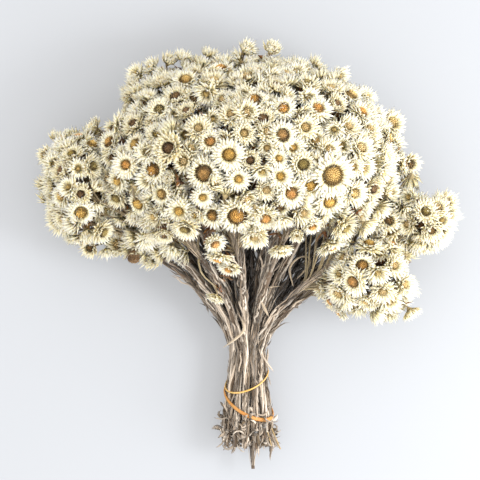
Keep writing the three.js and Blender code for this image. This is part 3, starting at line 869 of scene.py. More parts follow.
def grown(form: bmesh.types.BMesh, edges: list[bmesh.types.BMEdge]) -> tuple[list, list]:
    """Grows a ring of a form out into a strip of faces, which ends in a new ring.

    Args:
        form: The form.
        edges: The ring's edges.

    Returns:
        The points and the edges of the new ring.
    """
    made = bmesh.ops.extrude_edge_only(form, edges=edges)["geom"]
    verts = [item for item in made if isinstance(item, bmesh.types.BMVert)]
    fresh = set(verts)
    edges = [item for item in made if isinstance(item, bmesh.types.BMEdge)]
    return verts, [edge for edge in edges if fresh.issuperset(edge.verts)]


class Shape:
    """A small closed form that is copied many times, with its points and its own map."""

    def __init__(self, name: str, form: bmesh.types.BMesh, slot: int) -> None:
        """Keeps a form as a mesh that carries a tint and a map.

        Args:
            name: The mesh's name.
            form: The form, which is freed.
            slot: The material slot of its faces.
        """
        form.verts.layers.float_color.new("tint")
        fibre = form.loops.layers.uv.new("fibre")
        for face in form.faces:
            face.smooth = True
            face.material_index = slot
            for loop in face.loops:
                loop[fibre].uv = (loop.vert.co.y + 0.5, loop.vert.co.x)
        self.mesh = freed_mesh(name, form)
        self.points = np.array([vert.co[:] for vert in self.mesh.vertices])


def drawn_out(sides: int, rings: int, pointed: bool) -> bmesh.types.BMesh:
    """Draws a circle out along X into a closed rod, or into a closed spike.

    Args:
        sides: The circle's sides.
        rings: The number of steps along the rod.
        pointed: Whether the far end closes to a point.

    Returns:
        The rod, one unit long and one across.
    """
    form = bmesh.new()
    bmesh.ops.create_circle(form, cap_ends=True, segments=sides, radius=0.5)
    bmesh.ops.rotate(form, verts=form.verts, matrix=Matrix.Rotation(math.pi / 2, 3, "Y"))
    edges = list(form.edges)
    verts = list(form.verts)
    for _ in range(rings):
        verts, edges = grown(form, edges)
        bmesh.ops.translate(form, verts=verts, vec=(1 / rings, 0, 0))
    if pointed:
        bmesh.ops.pointmerge(form, verts=verts, merge_co=(1, 0, 0))
    else:
        bmesh.ops.contextual_create(form, geom=edges)
    bmesh.ops.recalc_face_normals(form, faces=form.faces)
    return form


class Rod(Shape):
    """A round rod of unit length along X, for stems and stalks."""

    # The ribs are the product of two waves: how often each goes round, and how far it winds.
    RIB_WAVES = ((3, 9), (5, -23))

    def __init__(self, name: str, sides: int, rings: int, slot: int) -> None:
        """Makes the rod."""
        super().__init__(name, drawn_out(sides, rings, False), slot)

    def along(self, line: Line, radii: Array, ribs: float = 0.0) -> Array:
        """Bends the rod along a line.

        Args:
            line: The line of its middle.
            radii: Its radius at even steps along the line.
            ribs: How deep its ribs are, as a share of its radius.

        Returns:
            The rod's points.
        """
        share = np.clip(self.points[:, 0], 0, 1)
        middle, way = line.at(line.evenly(share)), line.way(line.evenly(share))
        side, _ = cross_axes(unit(line.points[-1] - line.points[0]))
        across = side - way * (way @ side)[:, None]
        across /= np.linalg.norm(across, axis=1, keepdims=True)
        over = np.cross(way, across)
        radius = np.interp(share, np.linspace(0, 1, len(radii)), radii) * 2
        turn = np.arctan2(self.points[:, 2], self.points[:, 1])
        one, other = (np.sin(count * turn + wind * share) for count, wind in self.RIB_WAVES)
        radius = radius * (1 + ribs * one * other)
        offset = across * self.points[:, 1:2] + over * self.points[:, 2:3]
        return middle + offset * radius[:, None]


@dataclass(frozen=True)
class BladeCut:
    """The outline of a blade: its widths at even steps, and how its section rises to a ridge."""

    widths: tuple[float, ...]
    ridge: float = 0.3


class Blade(Shape):
    """A thin, pointed blade of unit length along X, with a ridge on its upper side."""

    def __init__(self, name: str, cut: BladeCut, slot: int) -> None:
        """Cuts the blade.

        Args:
            name: The mesh's name.
            cut: Its outline.
            slot: The material slot of its faces.
        """
        rings = len(cut.widths)
        form = drawn_out(3, rings, True)
        bmesh.ops.rotate(form, verts=form.verts, matrix=Matrix.Rotation(math.pi / 2, 3, "X"))
        for vert in form.verts:
            width = float(np.interp(vert.co.x * rings, range(rings + 1), [*cut.widths, 0.0]))
            # The circle of three sides is only sqrt(3) / 2 wide.
            vert.co.y *= width * 2 / math.sqrt(3)
            vert.co.z *= width * cut.ridge
        super().__init__(name, form, slot)


@dataclass
class Whorl:
    """Blades that grow in one round: a number for each blade and each of its measures."""

    lengths: Array
    widths: Array
    rises: Array
    curls: Array
    twists: Array
    turns: Array
    root_radius: float = 0.0
    root_height: float = 0.0
    least_curl: float = 1e-3

    def lay(self, blade: Shape) -> Array:
        """Cuts, curls, twists and raises the blades round an upright axis.

        Args:
            blade: The blade that they are copies of.

        Returns:
            The points of each blade, in the head's own axes.
        """
        x, y, z = (blade.points[None, :, i] for i in range(3))
        length, width, rise, curl, twist, turn = (
            values[:, None]
            for values in (self.lengths, self.widths, self.rises, self.curls, self.twists, self.turns)
        )
        roll = twist * x
        across = (y * np.cos(roll) - z * np.sin(roll)) * width
        over = (y * np.sin(roll) + z * np.cos(roll)) * width
        bend = np.where(np.abs(curl) < self.least_curl, self.least_curl, curl)
        out = length * np.sin(bend * x) / bend - np.sin(bend * x) * over
        up = length * (1 - np.cos(bend * x)) / bend + np.cos(bend * x) * over
        reach = self.root_radius + out * np.cos(rise) - up * np.sin(rise)
        height = self.root_height + out * np.sin(rise) + up * np.cos(rise)
        east = reach * np.cos(turn) - across * np.sin(turn)
        north = reach * np.sin(turn) + across * np.cos(turn)
        return np.stack([east, north, height], axis=2)


class Piece:
    """Collects copies of shapes, each with its own points and tints, in one mesh."""

    def __init__(self, name: str) -> None:
        """Starts an empty piece.

        Args:
            name: The name of its object.
        """
        self.name = name
        self.form = bmesh.new()
        self.points: list[Array] = []
        self.tints: list[Array] = []

    def add(self, shape: Shape, points: Array, tints: Array) -> None:
        """Adds one copy, or several.

        Args:
            shape: What is copied.
            points: The copy's points, or those of each copy.
            tints: A colour for each point, for each copy, or for all of them.
        """
        copies = points.reshape(-1, len(shape.points), 3)
        colours = np.broadcast_to(tints, copies.shape)
        for _ in copies:
            self.form.from_mesh(shape.mesh)
        self.points.append(copies.reshape(-1, 3))
        self.tints.append(colours.reshape(-1, 3))

    def finish(self, shift: Vector, materials: list[bpy.types.Material]) -> bpy.types.Object:
        """Makes the object, on the surface and in the row frame.

        Args:
            shift: The move from the tie's frame to the row frame, in metres.
            materials: The materials of its slots.

        Returns:
            The object.
        """
        mesh = freed_mesh(self.name, self.form)
        points = above_surface(np.vstack(self.points)) * MILLIMETRE + np.array(shift)
        mesh.vertices.foreach_set("co", points.astype(np.float32).ravel())
        tints = np.vstack(self.tints)
        colours = np.hstack([tints, np.ones((len(tints), 1))]).astype(np.float32)
        mesh.attributes["tint"].data.foreach_set("color", colours.ravel())
        mesh.update()
        for material in materials:
            mesh.materials.append(material)
        return new_object(self.name, mesh)


def above_surface(points: Array) -> Array:
    """Presses what would sink into the surface flat on top of it.

    Args:
        points: The points, in millimetres.

    Returns:
        The points, none of them below the surface.
    """
    pressed = points.copy()
    low = points[:, 2] < SOFT_HEIGHT
    pressed[low, 2] = SOFT_HEIGHT * np.exp((points[low, 2] - SOFT_HEIGHT) / SOFT_HEIGHT)
    return pressed


class Recipe:
    """Builds one node material round its main shader."""

    NOISE_LOW = 0.3
    NOISE_HIGH = 0.7

    def __init__(self, name: str) -> None:
        """Starts a material with only its shader and output.

        Args:
            name: The material's name.
        """
        self.material = bpy.data.materials.new(name)
        self.material.use_nodes = True
        self.nodes = self.material.node_tree.nodes
        self.shader = self.nodes["Principled BSDF"]

    def add(self, kind: str, inputs: dict[str, object] | None = None, **settings: object) -> bpy.types.Node:
        """Adds a node.

        Args:
            kind: The node's type.
            inputs: What its sockets get: a value, or another node's output.
            settings: The node's own settings.

        Returns:
            The node.
        """
        node = self.nodes.new(kind)
        for name, value in settings.items():
            setattr(node, name, value)
        for name, value in (inputs or {}).items():
            self.feed(node.inputs[name], value)
        return node

    def feed(self, socket: Socket, value: object) -> None:
        """Links an output to a socket, or sets its value.

        Args:
            socket: The socket.
            value: The output or the value.
        """
        if isinstance(value, Socket):
            self.material.node_tree.links.new(value, socket)
        else:
            socket.default_value = value

    def shade(self, **inputs: object) -> None:
        """Feeds the shader's sockets, here named with underscores for spaces."""
        for name, value in inputs.items():
            self.feed(self.shader.inputs[name.replace("_", " ")], value)

    def noise(self, vector: Socket, scale: float, detail: float = 3.0) -> Socket:
        """Adds a noise over some coordinates and gives its value."""
        made = self.add("ShaderNodeTexNoise", {"Vector": vector, "Scale": scale, "Detail": detail})
        return made.outputs["Fac"]

    def span(self, value: Socket, low: float, high: float) -> Socket:
        """Spreads a noise's usual range over another range."""
        usual = {"Value": value, "From Min": self.NOISE_LOW, "From Max": self.NOISE_HIGH}
        return self.add("ShaderNodeMapRange", {**usual, "To Min": low, "To Max": high}).outputs["Result"]

    def scaled(self, colour: Socket, factor: Socket) -> Socket:
        """Makes a colour lighter or darker by a factor."""
        made = self.add("ShaderNodeVectorMath", {"Vector": colour, "Scale": factor}, operation="SCALE")
        return made.outputs["Vector"]

    def bump(self, height: Socket, strength: float, distance: float) -> Socket:
        """Adds a bump and gives its normal."""
        inputs = {"Height": height, "Strength": strength, "Distance": distance}
        return self.add("ShaderNodeBump", inputs).outputs["Normal"]


@dataclass(frozen=True)
class FibrousFinish:
    """A dry plant surface: its tint, streaked along the fibres and blotched by age."""

    name: str
    streaks: Triple
    streak_range: Span
    blotch_scale: float
    blotch_range: Span
    roughness: Span
    bump_strength: float
    bump_distance: float
    translucence: float = 0.0
    felt: float = 0.0
    streak_detail: float = 4.0

    def build(self) -> bpy.types.Material:
        """Makes the material.

        Returns:
            The material, which reads the piece's tint and its fibre map.
        """
        recipe = Recipe(self.name)
        tint = recipe.add("ShaderNodeAttribute", attribute_name="tint").outputs["Color"]
        fibre = recipe.add("ShaderNodeUVMap", uv_map="fibre").outputs["UV"]
        places = recipe.add("ShaderNodeTexCoord").outputs["Object"]
        stretched = recipe.add("ShaderNodeMapping", {"Vector": fibre, "Scale": self.streaks})
        streak = recipe.noise(stretched.outputs["Vector"], 1.0, self.streak_detail)
        blotch = recipe.noise(places, self.blotch_scale)
        streaked = recipe.scaled(tint, recipe.span(streak, *self.streak_range))
        colour = recipe.scaled(streaked, recipe.span(blotch, *self.blotch_range))
        recipe.shade(
            Base_Color=colour,
            Roughness=recipe.span(streak, *self.roughness),
            Normal=recipe.bump(streak, self.bump_strength, self.bump_distance),
            Subsurface_Weight=self.translucence,
            Subsurface_Radius=(1.0, 0.8, 0.5),
            Subsurface_Scale=0.0015,
            Sheen_Weight=self.felt,
            Sheen_Roughness=0.5,
        )
        return recipe.material


@dataclass(frozen=True)
class RubberFinish:
    """Old rubber: matt, and a little dusty and paler in cloudy patches."""

    name: str
    colour: int
    dusty: int
    most_dust: float = 0.8
    # The scale and the detail of its two noises.
    cloud: Span = (90.0, 4.0)
    grain: Span = (1400.0, 2.0)
    roughness: Span = (0.42, 0.62)
    bump_strength: float = 0.25
    bump_distance: float = 0.00008

    def build(self) -> bpy.types.Material:
        """Makes the material.

        Returns:
            The material.
        """
        recipe = Recipe(self.name)
        places = recipe.add("ShaderNodeTexCoord").outputs["Object"]
        cloud = recipe.noise(places, *self.cloud)
        grain = recipe.noise(places, *self.grain)
        mix = recipe.add("ShaderNodeMix", data_type="RGBA")
        recipe.feed(mix.inputs["Factor"], recipe.span(cloud, 0.0, self.most_dust))
        recipe.feed(mix.inputs["A"], (*linear(self.colour), 1.0))
        recipe.feed(mix.inputs["B"], (*linear(self.dusty), 1.0))
        recipe.shade(
            Base_Color=mix.outputs["Result"],
            Roughness=recipe.span(grain, *self.roughness),
            Normal=recipe.bump(grain, self.bump_strength, self.bump_distance),
            Subsurface_Weight=0.15,
            Subsurface_Scale=0.001,
        )
        return recipe.material


BRACT_PAPER = FibrousFinish(
    "papery_bract", streaks=(7.0, 1.6, 1.0), streak_range=(0.92, 1.04), blotch_scale=90.0,
    blotch_range=(0.96, 1.03), roughness=(0.5, 0.7), bump_strength=0.25, bump_distance=0.0001,
    translucence=0.5,
)
DISC_FLORETS = FibrousFinish(
    "disc_florets", streaks=(3.0, 5.0, 1.0), streak_range=(0.8, 1.15), blotch_scale=420.0,
    blotch_range=(0.78, 1.2), roughness=(0.7, 0.9), bump_strength=0.3, bump_distance=0.0001,
)
STALK_SKIN = FibrousFinish(
    "stalk_skin", streaks=(9.0, 16.0, 1.0), streak_range=(0.75, 1.15), blotch_scale=160.0,
    blotch_range=(0.8, 1.15), roughness=(0.75, 0.95), bump_strength=0.5, bump_distance=0.0002,
    felt=0.2,
)
STEM_BARK = FibrousFinish(
    "stem_bark", streaks=(12.0, 14.0, 1.0), streak_range=(0.6, 1.25), blotch_scale=120.0,
    blotch_range=(0.7, 1.2), roughness=(0.8, 0.98), bump_strength=0.8, bump_distance=0.0005,
    felt=0.25,
)
LEAF_FELT = FibrousFinish(
    "felted_leaf", streaks=(6.0, 7.0, 1.0), streak_range=(0.72, 1.15), blotch_scale=150.0,
    blotch_range=(0.78, 1.15), roughness=(0.75, 0.95), bump_strength=0.7, bump_distance=0.0003,
    felt=0.35,
)


@dataclass(frozen=True)
class RosetteRow:
    """One row of a daisy's bracts: where it grows, how it stands, and how long it is."""

    root: float
    height: float
    rise: float
    length: float
    curl: float
    weathered: float


@dataclass(frozen=True)
class LeafHabit:
    """How the leaves of one kind grow: ranges, then the mean and spread of curl and twist."""

    length: Span
    width: Span
    rise: Span | None = None
    curl: Span | None = None
    twist: float = 1.0

    def leaf(self, rng: Rng, scale: float = 1.0) -> Whorl:
        """Draws one leaf.

        Args:
            rng: The draws.
            scale: What its length is multiplied by.

        Returns:
            A whorl of one blade, which lies flat or straight where the habit says nothing.
        """
        length = rng.uniform(*self.length) * scale
        width = rng.uniform(*self.width)
        rise = rng.uniform(*self.rise) if self.rise else 0.0
        curl = rng.normal(*self.curl) if self.curl else 0.0
        return one_blade(length, width, rise, curl, rng.normal(0, self.twist))


@dataclass(frozen=True)
class BractHabit:
    """How bracts vary within a row, and how much a closing head draws them together."""

    width: float = 3.1
    usual_radius: float = 13.0
    width_power: float = 0.6
    packing: float = 1.8
    hidden_packing: float = 0.85
    widths: Span = (0.78, 1.1)
    turn_spread: float = 0.22
    reach_spread: float = 0.08
    rise_spread: float = 5.0
    curl_spread: float = 11.0
    twist_spread: float = 0.35
    closing_root: float = 0.25
    closing_rise: float = 44.0
    closing_curl: float = 34.0
    closing_reach: float = 0.16
    closing_height: float = 0.4

    def count(self, head: Head, width: float) -> int:
        """Gives the number of bracts in a row of a head, each of them this wide."""
        packing = self.packing * (self.hidden_packing if head.rank is Rank.HIDDEN else 1)
        return int(round(math.pi * head.radius / width * packing))

    def whorl(
        self, head: Head, disc: float, row: RosetteRow, stagger: float, lean: Span,
        rng: Rng,
    ) -> Whorl:
        """Draws one row of bracts.

        Args:
            head: The head.
            disc: The radius of its disc.
            row: The row.
            stagger: How far it is turned against the other rows, in bracts.
            lean: Where the rosette is lifted, and by how many degrees.
            rng: The draws.

        Returns:
            The row's blades.
        """
        radius = head.radius
        width = self.width * (radius / self.usual_radius) ** self.width_power
        count = self.count(head, width)
        closed = 1 - head.kind.value.open
        root = disc * row.root * (1 - self.closing_root * closed)
        jitter = rng.uniform(-self.turn_spread, self.turn_spread, count)
        turns = (np.arange(count) + stagger + jitter) / count
        turns = turns * 2 * math.pi
        rise = row.rise + self.closing_rise * closed + lean[1] * np.cos(turns - lean[0])
        curl = row.curl + self.closing_curl * closed
        reach = (radius * row.length - root) * rng.normal(1.0, self.reach_spread, count)
        return Whorl(
            reach * (1 + self.closing_reach * closed),
            width * rng.uniform(*self.widths, count),
            np.radians(rise + rng.normal(0, self.rise_spread, count)),
            np.radians(curl + rng.normal(0, self.curl_spread, count)),
            rng.normal(0, self.twist_spread, count),
            turns,
            root,
            radius * row.height * (1 - self.closing_height * closed),
        )


@dataclass
class DiscDresser:
    """Makes the discs: a dome of florets on a spiral, and short dark bracts round the rim."""

    florets_per_area: float = 1.9
    florets: tuple[int, int] = (22, 84)
    floret_thinning: float = 0.6
    floret_size: float = 2.3
    floret_height: float = 1.1
    floret_sizes: Span = (0.85, 1.15)
    floret_tones: Span = (0.85, 1.12)
    spread: float = 0.94
    dimple_depth: float = 0.22
    dimple_radius: float = 0.3
    ball_radius: float = 0.96
    ball_tone: float = 0.7
    most_dust: float = 0.2
    lopsided: float = 0.25
    heart_start: float = 1.25
    heart_fall: float = 1.7
    edge_start: float = 0.62
    edge_width: float = 0.26
    rim_bracts_per_radius: float = 3.4
    rim_bracts: tuple[int, int] = (8, 22)
    rim_thinning: float = 0.5
    rim_lengths: Span = (0.3, 0.5)
    rim_width: float = 0.26
    rim_rise: float = 48.0
    rim_closing_rise: float = 20.0
    rim_rise_spread: float = 10.0
    rim_curl: Span = (30.0, 14.0)
    rim_twist: float = 0.2
    rim_jitter: float = 0.3
    rim_root: float = 0.97
    rim_tone: float = 1.1

    def __post_init__(self) -> None:
        """Makes the shapes that all discs share."""
        self.rim_bract = Blade("rim_bract", BladeCut((0.8, 0.8), 0.5), 1)
        spike = drawn_out(3, 1, True)
        bmesh.ops.rotate(spike, verts=spike.verts, matrix=Matrix.Rotation(-math.pi / 2, 3, "Y"))
        self.floret = Shape("floret", spike, 1)
        ball = bmesh.new()
        bmesh.ops.create_icosphere(ball, subdivisions=1, radius=1)
        self.ball = Shape("disc_ball", ball, 1)

    def dress(self, piece: Piece, head: Head, disc: float, rng: Rng) -> None:
        """Adds the disc of a head.

        Args:
            piece: What it goes into.
            head: The head.
            disc: The disc's radius.
            rng: The draws.
        """
        look = head.kind.value
        tones = [linear(tone) for tone in (look.tones.heart, look.tones.ring, look.tones.rim)]
        dust = rng.uniform(0, self.most_dust)
        heart, ring, rim = (tone * (1 - dust) + tone.mean() * dust for tone in tones)
        high = look.dome * head.radius
        wide = disc * self.ball_radius
        ball = self.ball.points * np.array([wide, wide, high])
        piece.add(self.ball, head.placed(ball), ring * self.ball_tone)
        self.add_florets(piece, head, disc, high, (heart, ring, rim), rng)
        self.add_rim_bracts(piece, head, disc, rim, rng)

    def add_florets(
        self, piece: Piece, head: Head, disc: float, high: float, tones: tuple[Array, ...],
        rng: Rng,
    ) -> None:
        """Adds the florets, on a spiral over the ball, with a dimple in the middle.

        Args:
            piece: What they go into.
            head: The head.
            disc: The disc's radius.
            high: The height of its dome.
            tones: The colours of its heart, its ring and its rim.
            rng: The draws.
        """
        heart, ring, rim = tones
        asked = clamp(disc * disc * self.florets_per_area, *self.florets)
        count = int(asked / head.rank.value**self.floret_thinning)
        order = np.arange(count)
        far = np.sqrt((order + 0.5) / count)
        turn = order * GOLDEN_ANGLE
        dome = high * np.sqrt(np.clip(1 - (far * self.spread) ** 2, 0, 1))
        lift = dome * (1 - self.dimple_depth * np.exp(-((far / self.dimple_radius) ** 2)))
        across = np.cos(turn) * far * disc * self.spread
        along = np.sin(turn) * far * disc * self.spread
        spot = np.stack([across, along, lift], axis=1)
        size = self.floret_size * disc / math.sqrt(count)
        stubs = self.floret.points[None] * np.array([size, size, size * self.floret_height])
        stubs = stubs * rng.uniform(*self.floret_sizes, (count, 1, 1)) + spot[:, None]
        uneven = 1 + self.lopsided * np.cos(turn - rng.uniform(0, 2 * math.pi))
        blend = np.clip(far * uneven, 0, 1)[:, None, None]
        core = np.clip(self.heart_start - blend * self.heart_fall, 0, 1)
        colours = heart * core + ring * (1 - core)
        edge = np.clip((blend - self.edge_start) / self.edge_width, 0, 1)
        colours = colours * (1 - edge) + rim * edge
        colours = colours * rng.uniform(*self.floret_tones, (count, 1, 1))
        piece.add(self.floret, head.placed(stubs), colours)

    def add_rim_bracts(
        self, piece: Piece, head: Head, disc: float, rim: Array, rng: Rng
    ) -> None:
        """Adds the short dark bracts round the rim.

        Args:
            piece: What they go into.
            head: The head.
            disc: The disc's radius.
            rim: The rim's colour.
            rng: The draws.
        """
        asked = clamp(disc * self.rim_bracts_per_radius, *self.rim_bracts)
        count = int(asked / head.rank.value**self.rim_thinning)
        closed = 1 - head.kind.value.open
        rise = self.rim_rise + self.rim_closing_rise * closed
        jitter = self.rim_jitter
        whorl = Whorl(
            disc * rng.uniform(*self.rim_lengths, count) * (1 + closed),
            np.full(count, disc * self.rim_width),
            np.radians(rng.normal(rise, self.rim_rise_spread, count)),
            np.radians(rng.normal(*self.rim_curl, count)),
            rng.normal(0, self.rim_twist, count),
            (np.arange(count) + rng.uniform(-jitter, jitter, count)) / count * 2 * math.pi,
            disc * self.rim_root,
        )
        piece.add(self.rim_bract, head.placed(whorl.lay(self.rim_bract)), rim * self.rim_tone)


@dataclass
class DaisyDresser:
    """Dresses one spray with its daisies: bracts in rows, discs, cups, stalks and dead leaves."""

    tie: Tie
    discs: DiscDresser = field(default_factory=DiscDresser)
    bract_habit: BractHabit = BractHabit()
    # Each row's root, height, rise, length, curl and weathering. A half-hidden head has the first few.
    rows: tuple[RosetteRow, ...] = (
        RosetteRow(0.95, -0.12, 5.0, 1.04, 5.0, 0.1),
        RosetteRow(1.0, -0.04, 20.0, 0.92, 0.0, 0.0),
        RosetteRow(0.75, -0.22, -8.0, 1.06, 10.0, 0.4),
        RosetteRow(1.0, 0.0, 34.0, 0.76, -6.0, 0.0),
        RosetteRow(0.5, -0.32, 4.0, 0.9, 16.0, 1.0),
    )
    bract_tones: Span = (0.94, 1.04)
    rosette_lift: Span = (2.0, 12.0)
    disc_sizes: Span = (0.82, 0.98)
    head_base: float = 0.42
    lowest_base: float = 1.1
    cup_hold: float = 0.4
    cup_widths: tuple[float, ...] = (0.55, 0.86, 0.9)
    cup_tone: int = 0xA8956A
    stalk_radius: float = 0.75
    stalk_swell: tuple[float, ...] = (1.1, 0.9, 1.0, 1.25)
    stalk_ribs: float = 0.1
    stalk_head_hold: float = 0.5
    stalk_root_hold: float = 0.35
    stalk_tone: int = 0x8F7F5E
    stalk_tones: Span = (0.75, 1.15)
    scale_step: float = 10.0
    scale_leaves: tuple[int, int] = (1, 5)
    scale_jitter: Span = (0.2, 0.8)
    scale_length: Span = (4.0, 8.0)
    scale_width: float = 1.4
    scale_rise: Span = (8.0, 28.0)
    scale_curl: Span = (-20.0, 30.0)
    scale_twist: float = 0.3
    scale_tone: float = 1.25
    root_step: float = 3.2
    first_root: float = 0.12
    last_root: float = 0.94
    root_order: float = 0.6
    hanging_bend: float = 7.0
    hanging_place: float = 0.7
    seat_gap: float = 0.35
    upper_share: float = 0.62
    upper_radius: float = 1.7
    upper_taper: float = 0.8
    upper_end: float = 0.8
    upper_bend: float = 3.0
    upper_hold: float = 0.4
    upper_ribs: float = 0.12
    upper_tone: int = 0x6E5F49
    upper_leaf_step: float = 1.0
    upper_leaf_end: float = 0.9
    upper_leaf: LeafHabit = LeafHabit((9.0, 24.0), (1.2, 2.4), (2.0, 12.0))
    upper_leaf_tone: int = 0xBDA98F
    upper_leaf_tones: Span = (0.35, 1.1)
    dead_leaves: int = 10
    dead_leaf: LeafHabit = LeafHabit((0.65, 1.15), (3.0, 5.5), (-5.0, 30.0), (0.0, 30.0))
    dead_depth: Span = (0.7, 2.6)
    dead_jitter: float = 0.4
    lowest_dead_leaf: float = 2.0
    leafy_facing: float = 0.75
    dead_tones: tuple[int, ...] = (0x93632F, 0x7A4C24, 0xAA8146, 0x86623A)

    def __post_init__(self) -> None:
        """Makes the shapes that all daisies share."""
        fine = Blade("bract", BladeCut((0.62, 1.0, 0.8), 0.2), 0)
        plain = Blade("plain_bract", BladeCut((0.72, 1.0), 0.22), 0)
        self.bracts = {Rank.NAMED: fine, Rank.FILL: plain, Rank.HIDDEN: plain}
        self.cup = Rod("cup", 6, 3, 2)
        self.stalk = Rod("stalk", 4, 6, 2)
        self.upper_stem = Rod("upper_stem", 8, 12, 2)
        self.long_leaf = Blade("long_leaf", BladeCut((0.6, 1.0, 0.8), 0.4), 2)
        self.scale_leaf = Blade("scale_leaf", BladeCut((0.8, 0.8), 0.5), 2)

    def dress(self, spray: Spray, flow_end: Array, ahead: Array, seed: int) -> Piece:
        """Makes all daisies of a spray.

        Args:
            spray: The spray.
            flow_end: Where its main stem ends.
            ahead: The way of the main stem there.
            seed: The seed of its draws.

        Returns:
            The piece, not yet finished.
        """
        rng = np.random.default_rng(seed)
        piece = Piece(f"daisies_{spray.cell.number:02d}")
        line = self.upper_stem_line(spray, flow_end + ahead * self.seat_gap, ahead)
        self.add_upper_stem(piece, line, rng)
        for head, stalk in self.stalks(spray, line):
            self.add_stalk(piece, stalk, rng)
            if head.axis @ head.out > self.leafy_facing:
                self.add_dead_leaves(piece, head, rng)
            self.add_head(piece, head, rng)
        return piece

    def upper_stem_line(self, spray: Spray, start: Array, ahead: Array) -> Line:
        """Works out the line of the stem past the fork, which the stalks are rooted in.

        Args:
            spray: The spray.
            start: Where the line starts.
            ahead: The way of the main stem there.

        Returns:
            The line.
        """
        solid = [head for head in spray.heads if head.rank is not Rank.HIDDEN]
        way = np.mean([head.position for head in solid], axis=0) - start
        distance = float(np.linalg.norm(way))
        length = min((len(solid) + 1) * self.root_step, distance * self.upper_share)
        along = unit(unit(way) + ahead)
        finish = self.tie.push(start + along * length, spray.cell, self.tie.stem_radius)
        bend = start + ahead * (length / self.upper_bend)
        bend = self.tie.push(bend, spray.cell, self.upper_radius)
        hold = self.upper_hold
        return Line([start, bend, finish], ahead * length * hold, along * length * hold)

    def add_upper_stem(self, piece: Piece, line: Line, rng: Rng) -> None:
        """Adds the stem past the fork, with its leaves.

        Args:
            piece: What it goes into.
            line: The stem's line.
            rng: The draws.
        """
        thick = [radius * self.upper_taper for radius in (self.tie.stem_radius, self.upper_radius)]
        rod = self.upper_stem.along(line, np.array([*thick, self.upper_end]), self.upper_ribs)
        piece.add(self.upper_stem, rod, linear(self.upper_tone))
        count = int(line.length() / self.upper_leaf_step)
        shares = (np.arange(count) + rng.uniform(0, 1, count)) / count * self.upper_leaf_end
        for i, way in enumerate(line.way(line.evenly(shares))):
            side, _ = cross_axes(way, i * GOLDEN_ANGLE)
            laid = self.upper_leaf.leaf(rng).lay(self.long_leaf)[0] + self.tie.leaf_lift()
            tone = linear(self.upper_leaf_tone) * rng.uniform(*self.upper_leaf_tones)
            piece.add(self.long_leaf, lain_on(laid, line, shares[i], side, 1.0), tone)

    def stalks(self, spray: Spray, line: Line) -> list[tuple[Head, Line]]:
        """Roots the heads of a spray one after another, and bends those round that hang behind the fork.

        Args:
            spray: The spray.
            line: The upper stem's line.

        Returns:
            Each head, and its stalk's line from the head to the root.
        """
        start = line.points[0]
        along = unit(line.points[-1] - start)
        feet = []
        for head in spray.heads:
            under = head.position - head.axis * self.head_base * head.radius
            under[2] = max(under[2], self.lowest_base)
            forward = float((under - start) @ along)
            aside = under - start - along * forward
            order = forward - self.root_order * float(np.linalg.norm(aside))
            feet.append((order, head, under, forward, aside))
        feet.sort(key=lambda foot: foot[0])
        stalks = []
        for i, (_, head, under, forward, aside) in enumerate(feet):
            share = (i + 0.5) / len(feet)
            place = self.first_root + (self.last_root - self.first_root) * share
            root = line.at(np.array([place]))[0]
            points = [under, root]
            if forward < 0:
                half = under + (root - under) * self.hanging_place
                points.insert(1, half + unit(aside) * self.hanging_bend)
            reach = float(np.linalg.norm(under - root))
            at_head = -head.axis * reach * self.stalk_head_hold
            stalks.append((head, Line(points, at_head, -along * reach * self.stalk_root_hold)))
        return stalks

    def add_stalk(self, piece: Piece, line: Line, rng: Rng) -> None:
        """Adds a stalk with small dried scale leaves.

        Args:
            piece: What it goes into.
            line: The stalk's line, from the head to the root.
            rng: The draws.
        """
        tone = linear(self.stalk_tone) * rng.uniform(*self.stalk_tones)
        radii = self.stalk_radius * np.array(self.stalk_swell)
        piece.add(self.stalk, self.stalk.along(line, radii, self.stalk_ribs), tone)
        count = int(clamp(line.length() / self.scale_step, *self.scale_leaves))
        shares = (np.arange(count) + rng.uniform(*self.scale_jitter, count)) / count
        for point, way in zip(line.at(shares), line.way(shares)):
            side, _ = cross_axes(-way, rng.uniform(0, 2 * math.pi))
            length = rng.uniform(*self.scale_length)
            rise, curl = rng.uniform(*self.scale_rise), rng.uniform(*self.scale_curl)
            whorl = one_blade(length, self.scale_width, rise, curl, self.scale_twist)
            laid = whorl.lay(self.scale_leaf)[0]
            piece.add(self.scale_leaf, lain_along(laid, point, -way, side), tone * self.scale_tone)

    def add_dead_leaves(self, piece: Piece, head: Head, rng: Rng) -> None:
        """Adds the brown leaves that stand round the stalk under a head and darken the hollows.

        Args:
            piece: What they go into.
            head: The head.
            rng: The draws.
        """
        for i in range(self.dead_leaves):
            root = head.position - head.axis * head.radius * rng.uniform(*self.dead_depth)
            root[2] = max(root[2], self.lowest_dead_leaf)
            whorl = self.dead_leaf.leaf(rng, head.radius)
            jitter = rng.uniform(-self.dead_jitter, self.dead_jitter)
            whorl.turns = np.array([i * GOLDEN_ANGLE + jitter])
            laid = whorl.lay(self.scale_leaf)[0]
            piece.add(self.scale_leaf, head.placed(laid, root), drawn_tone(self.dead_tones, rng))

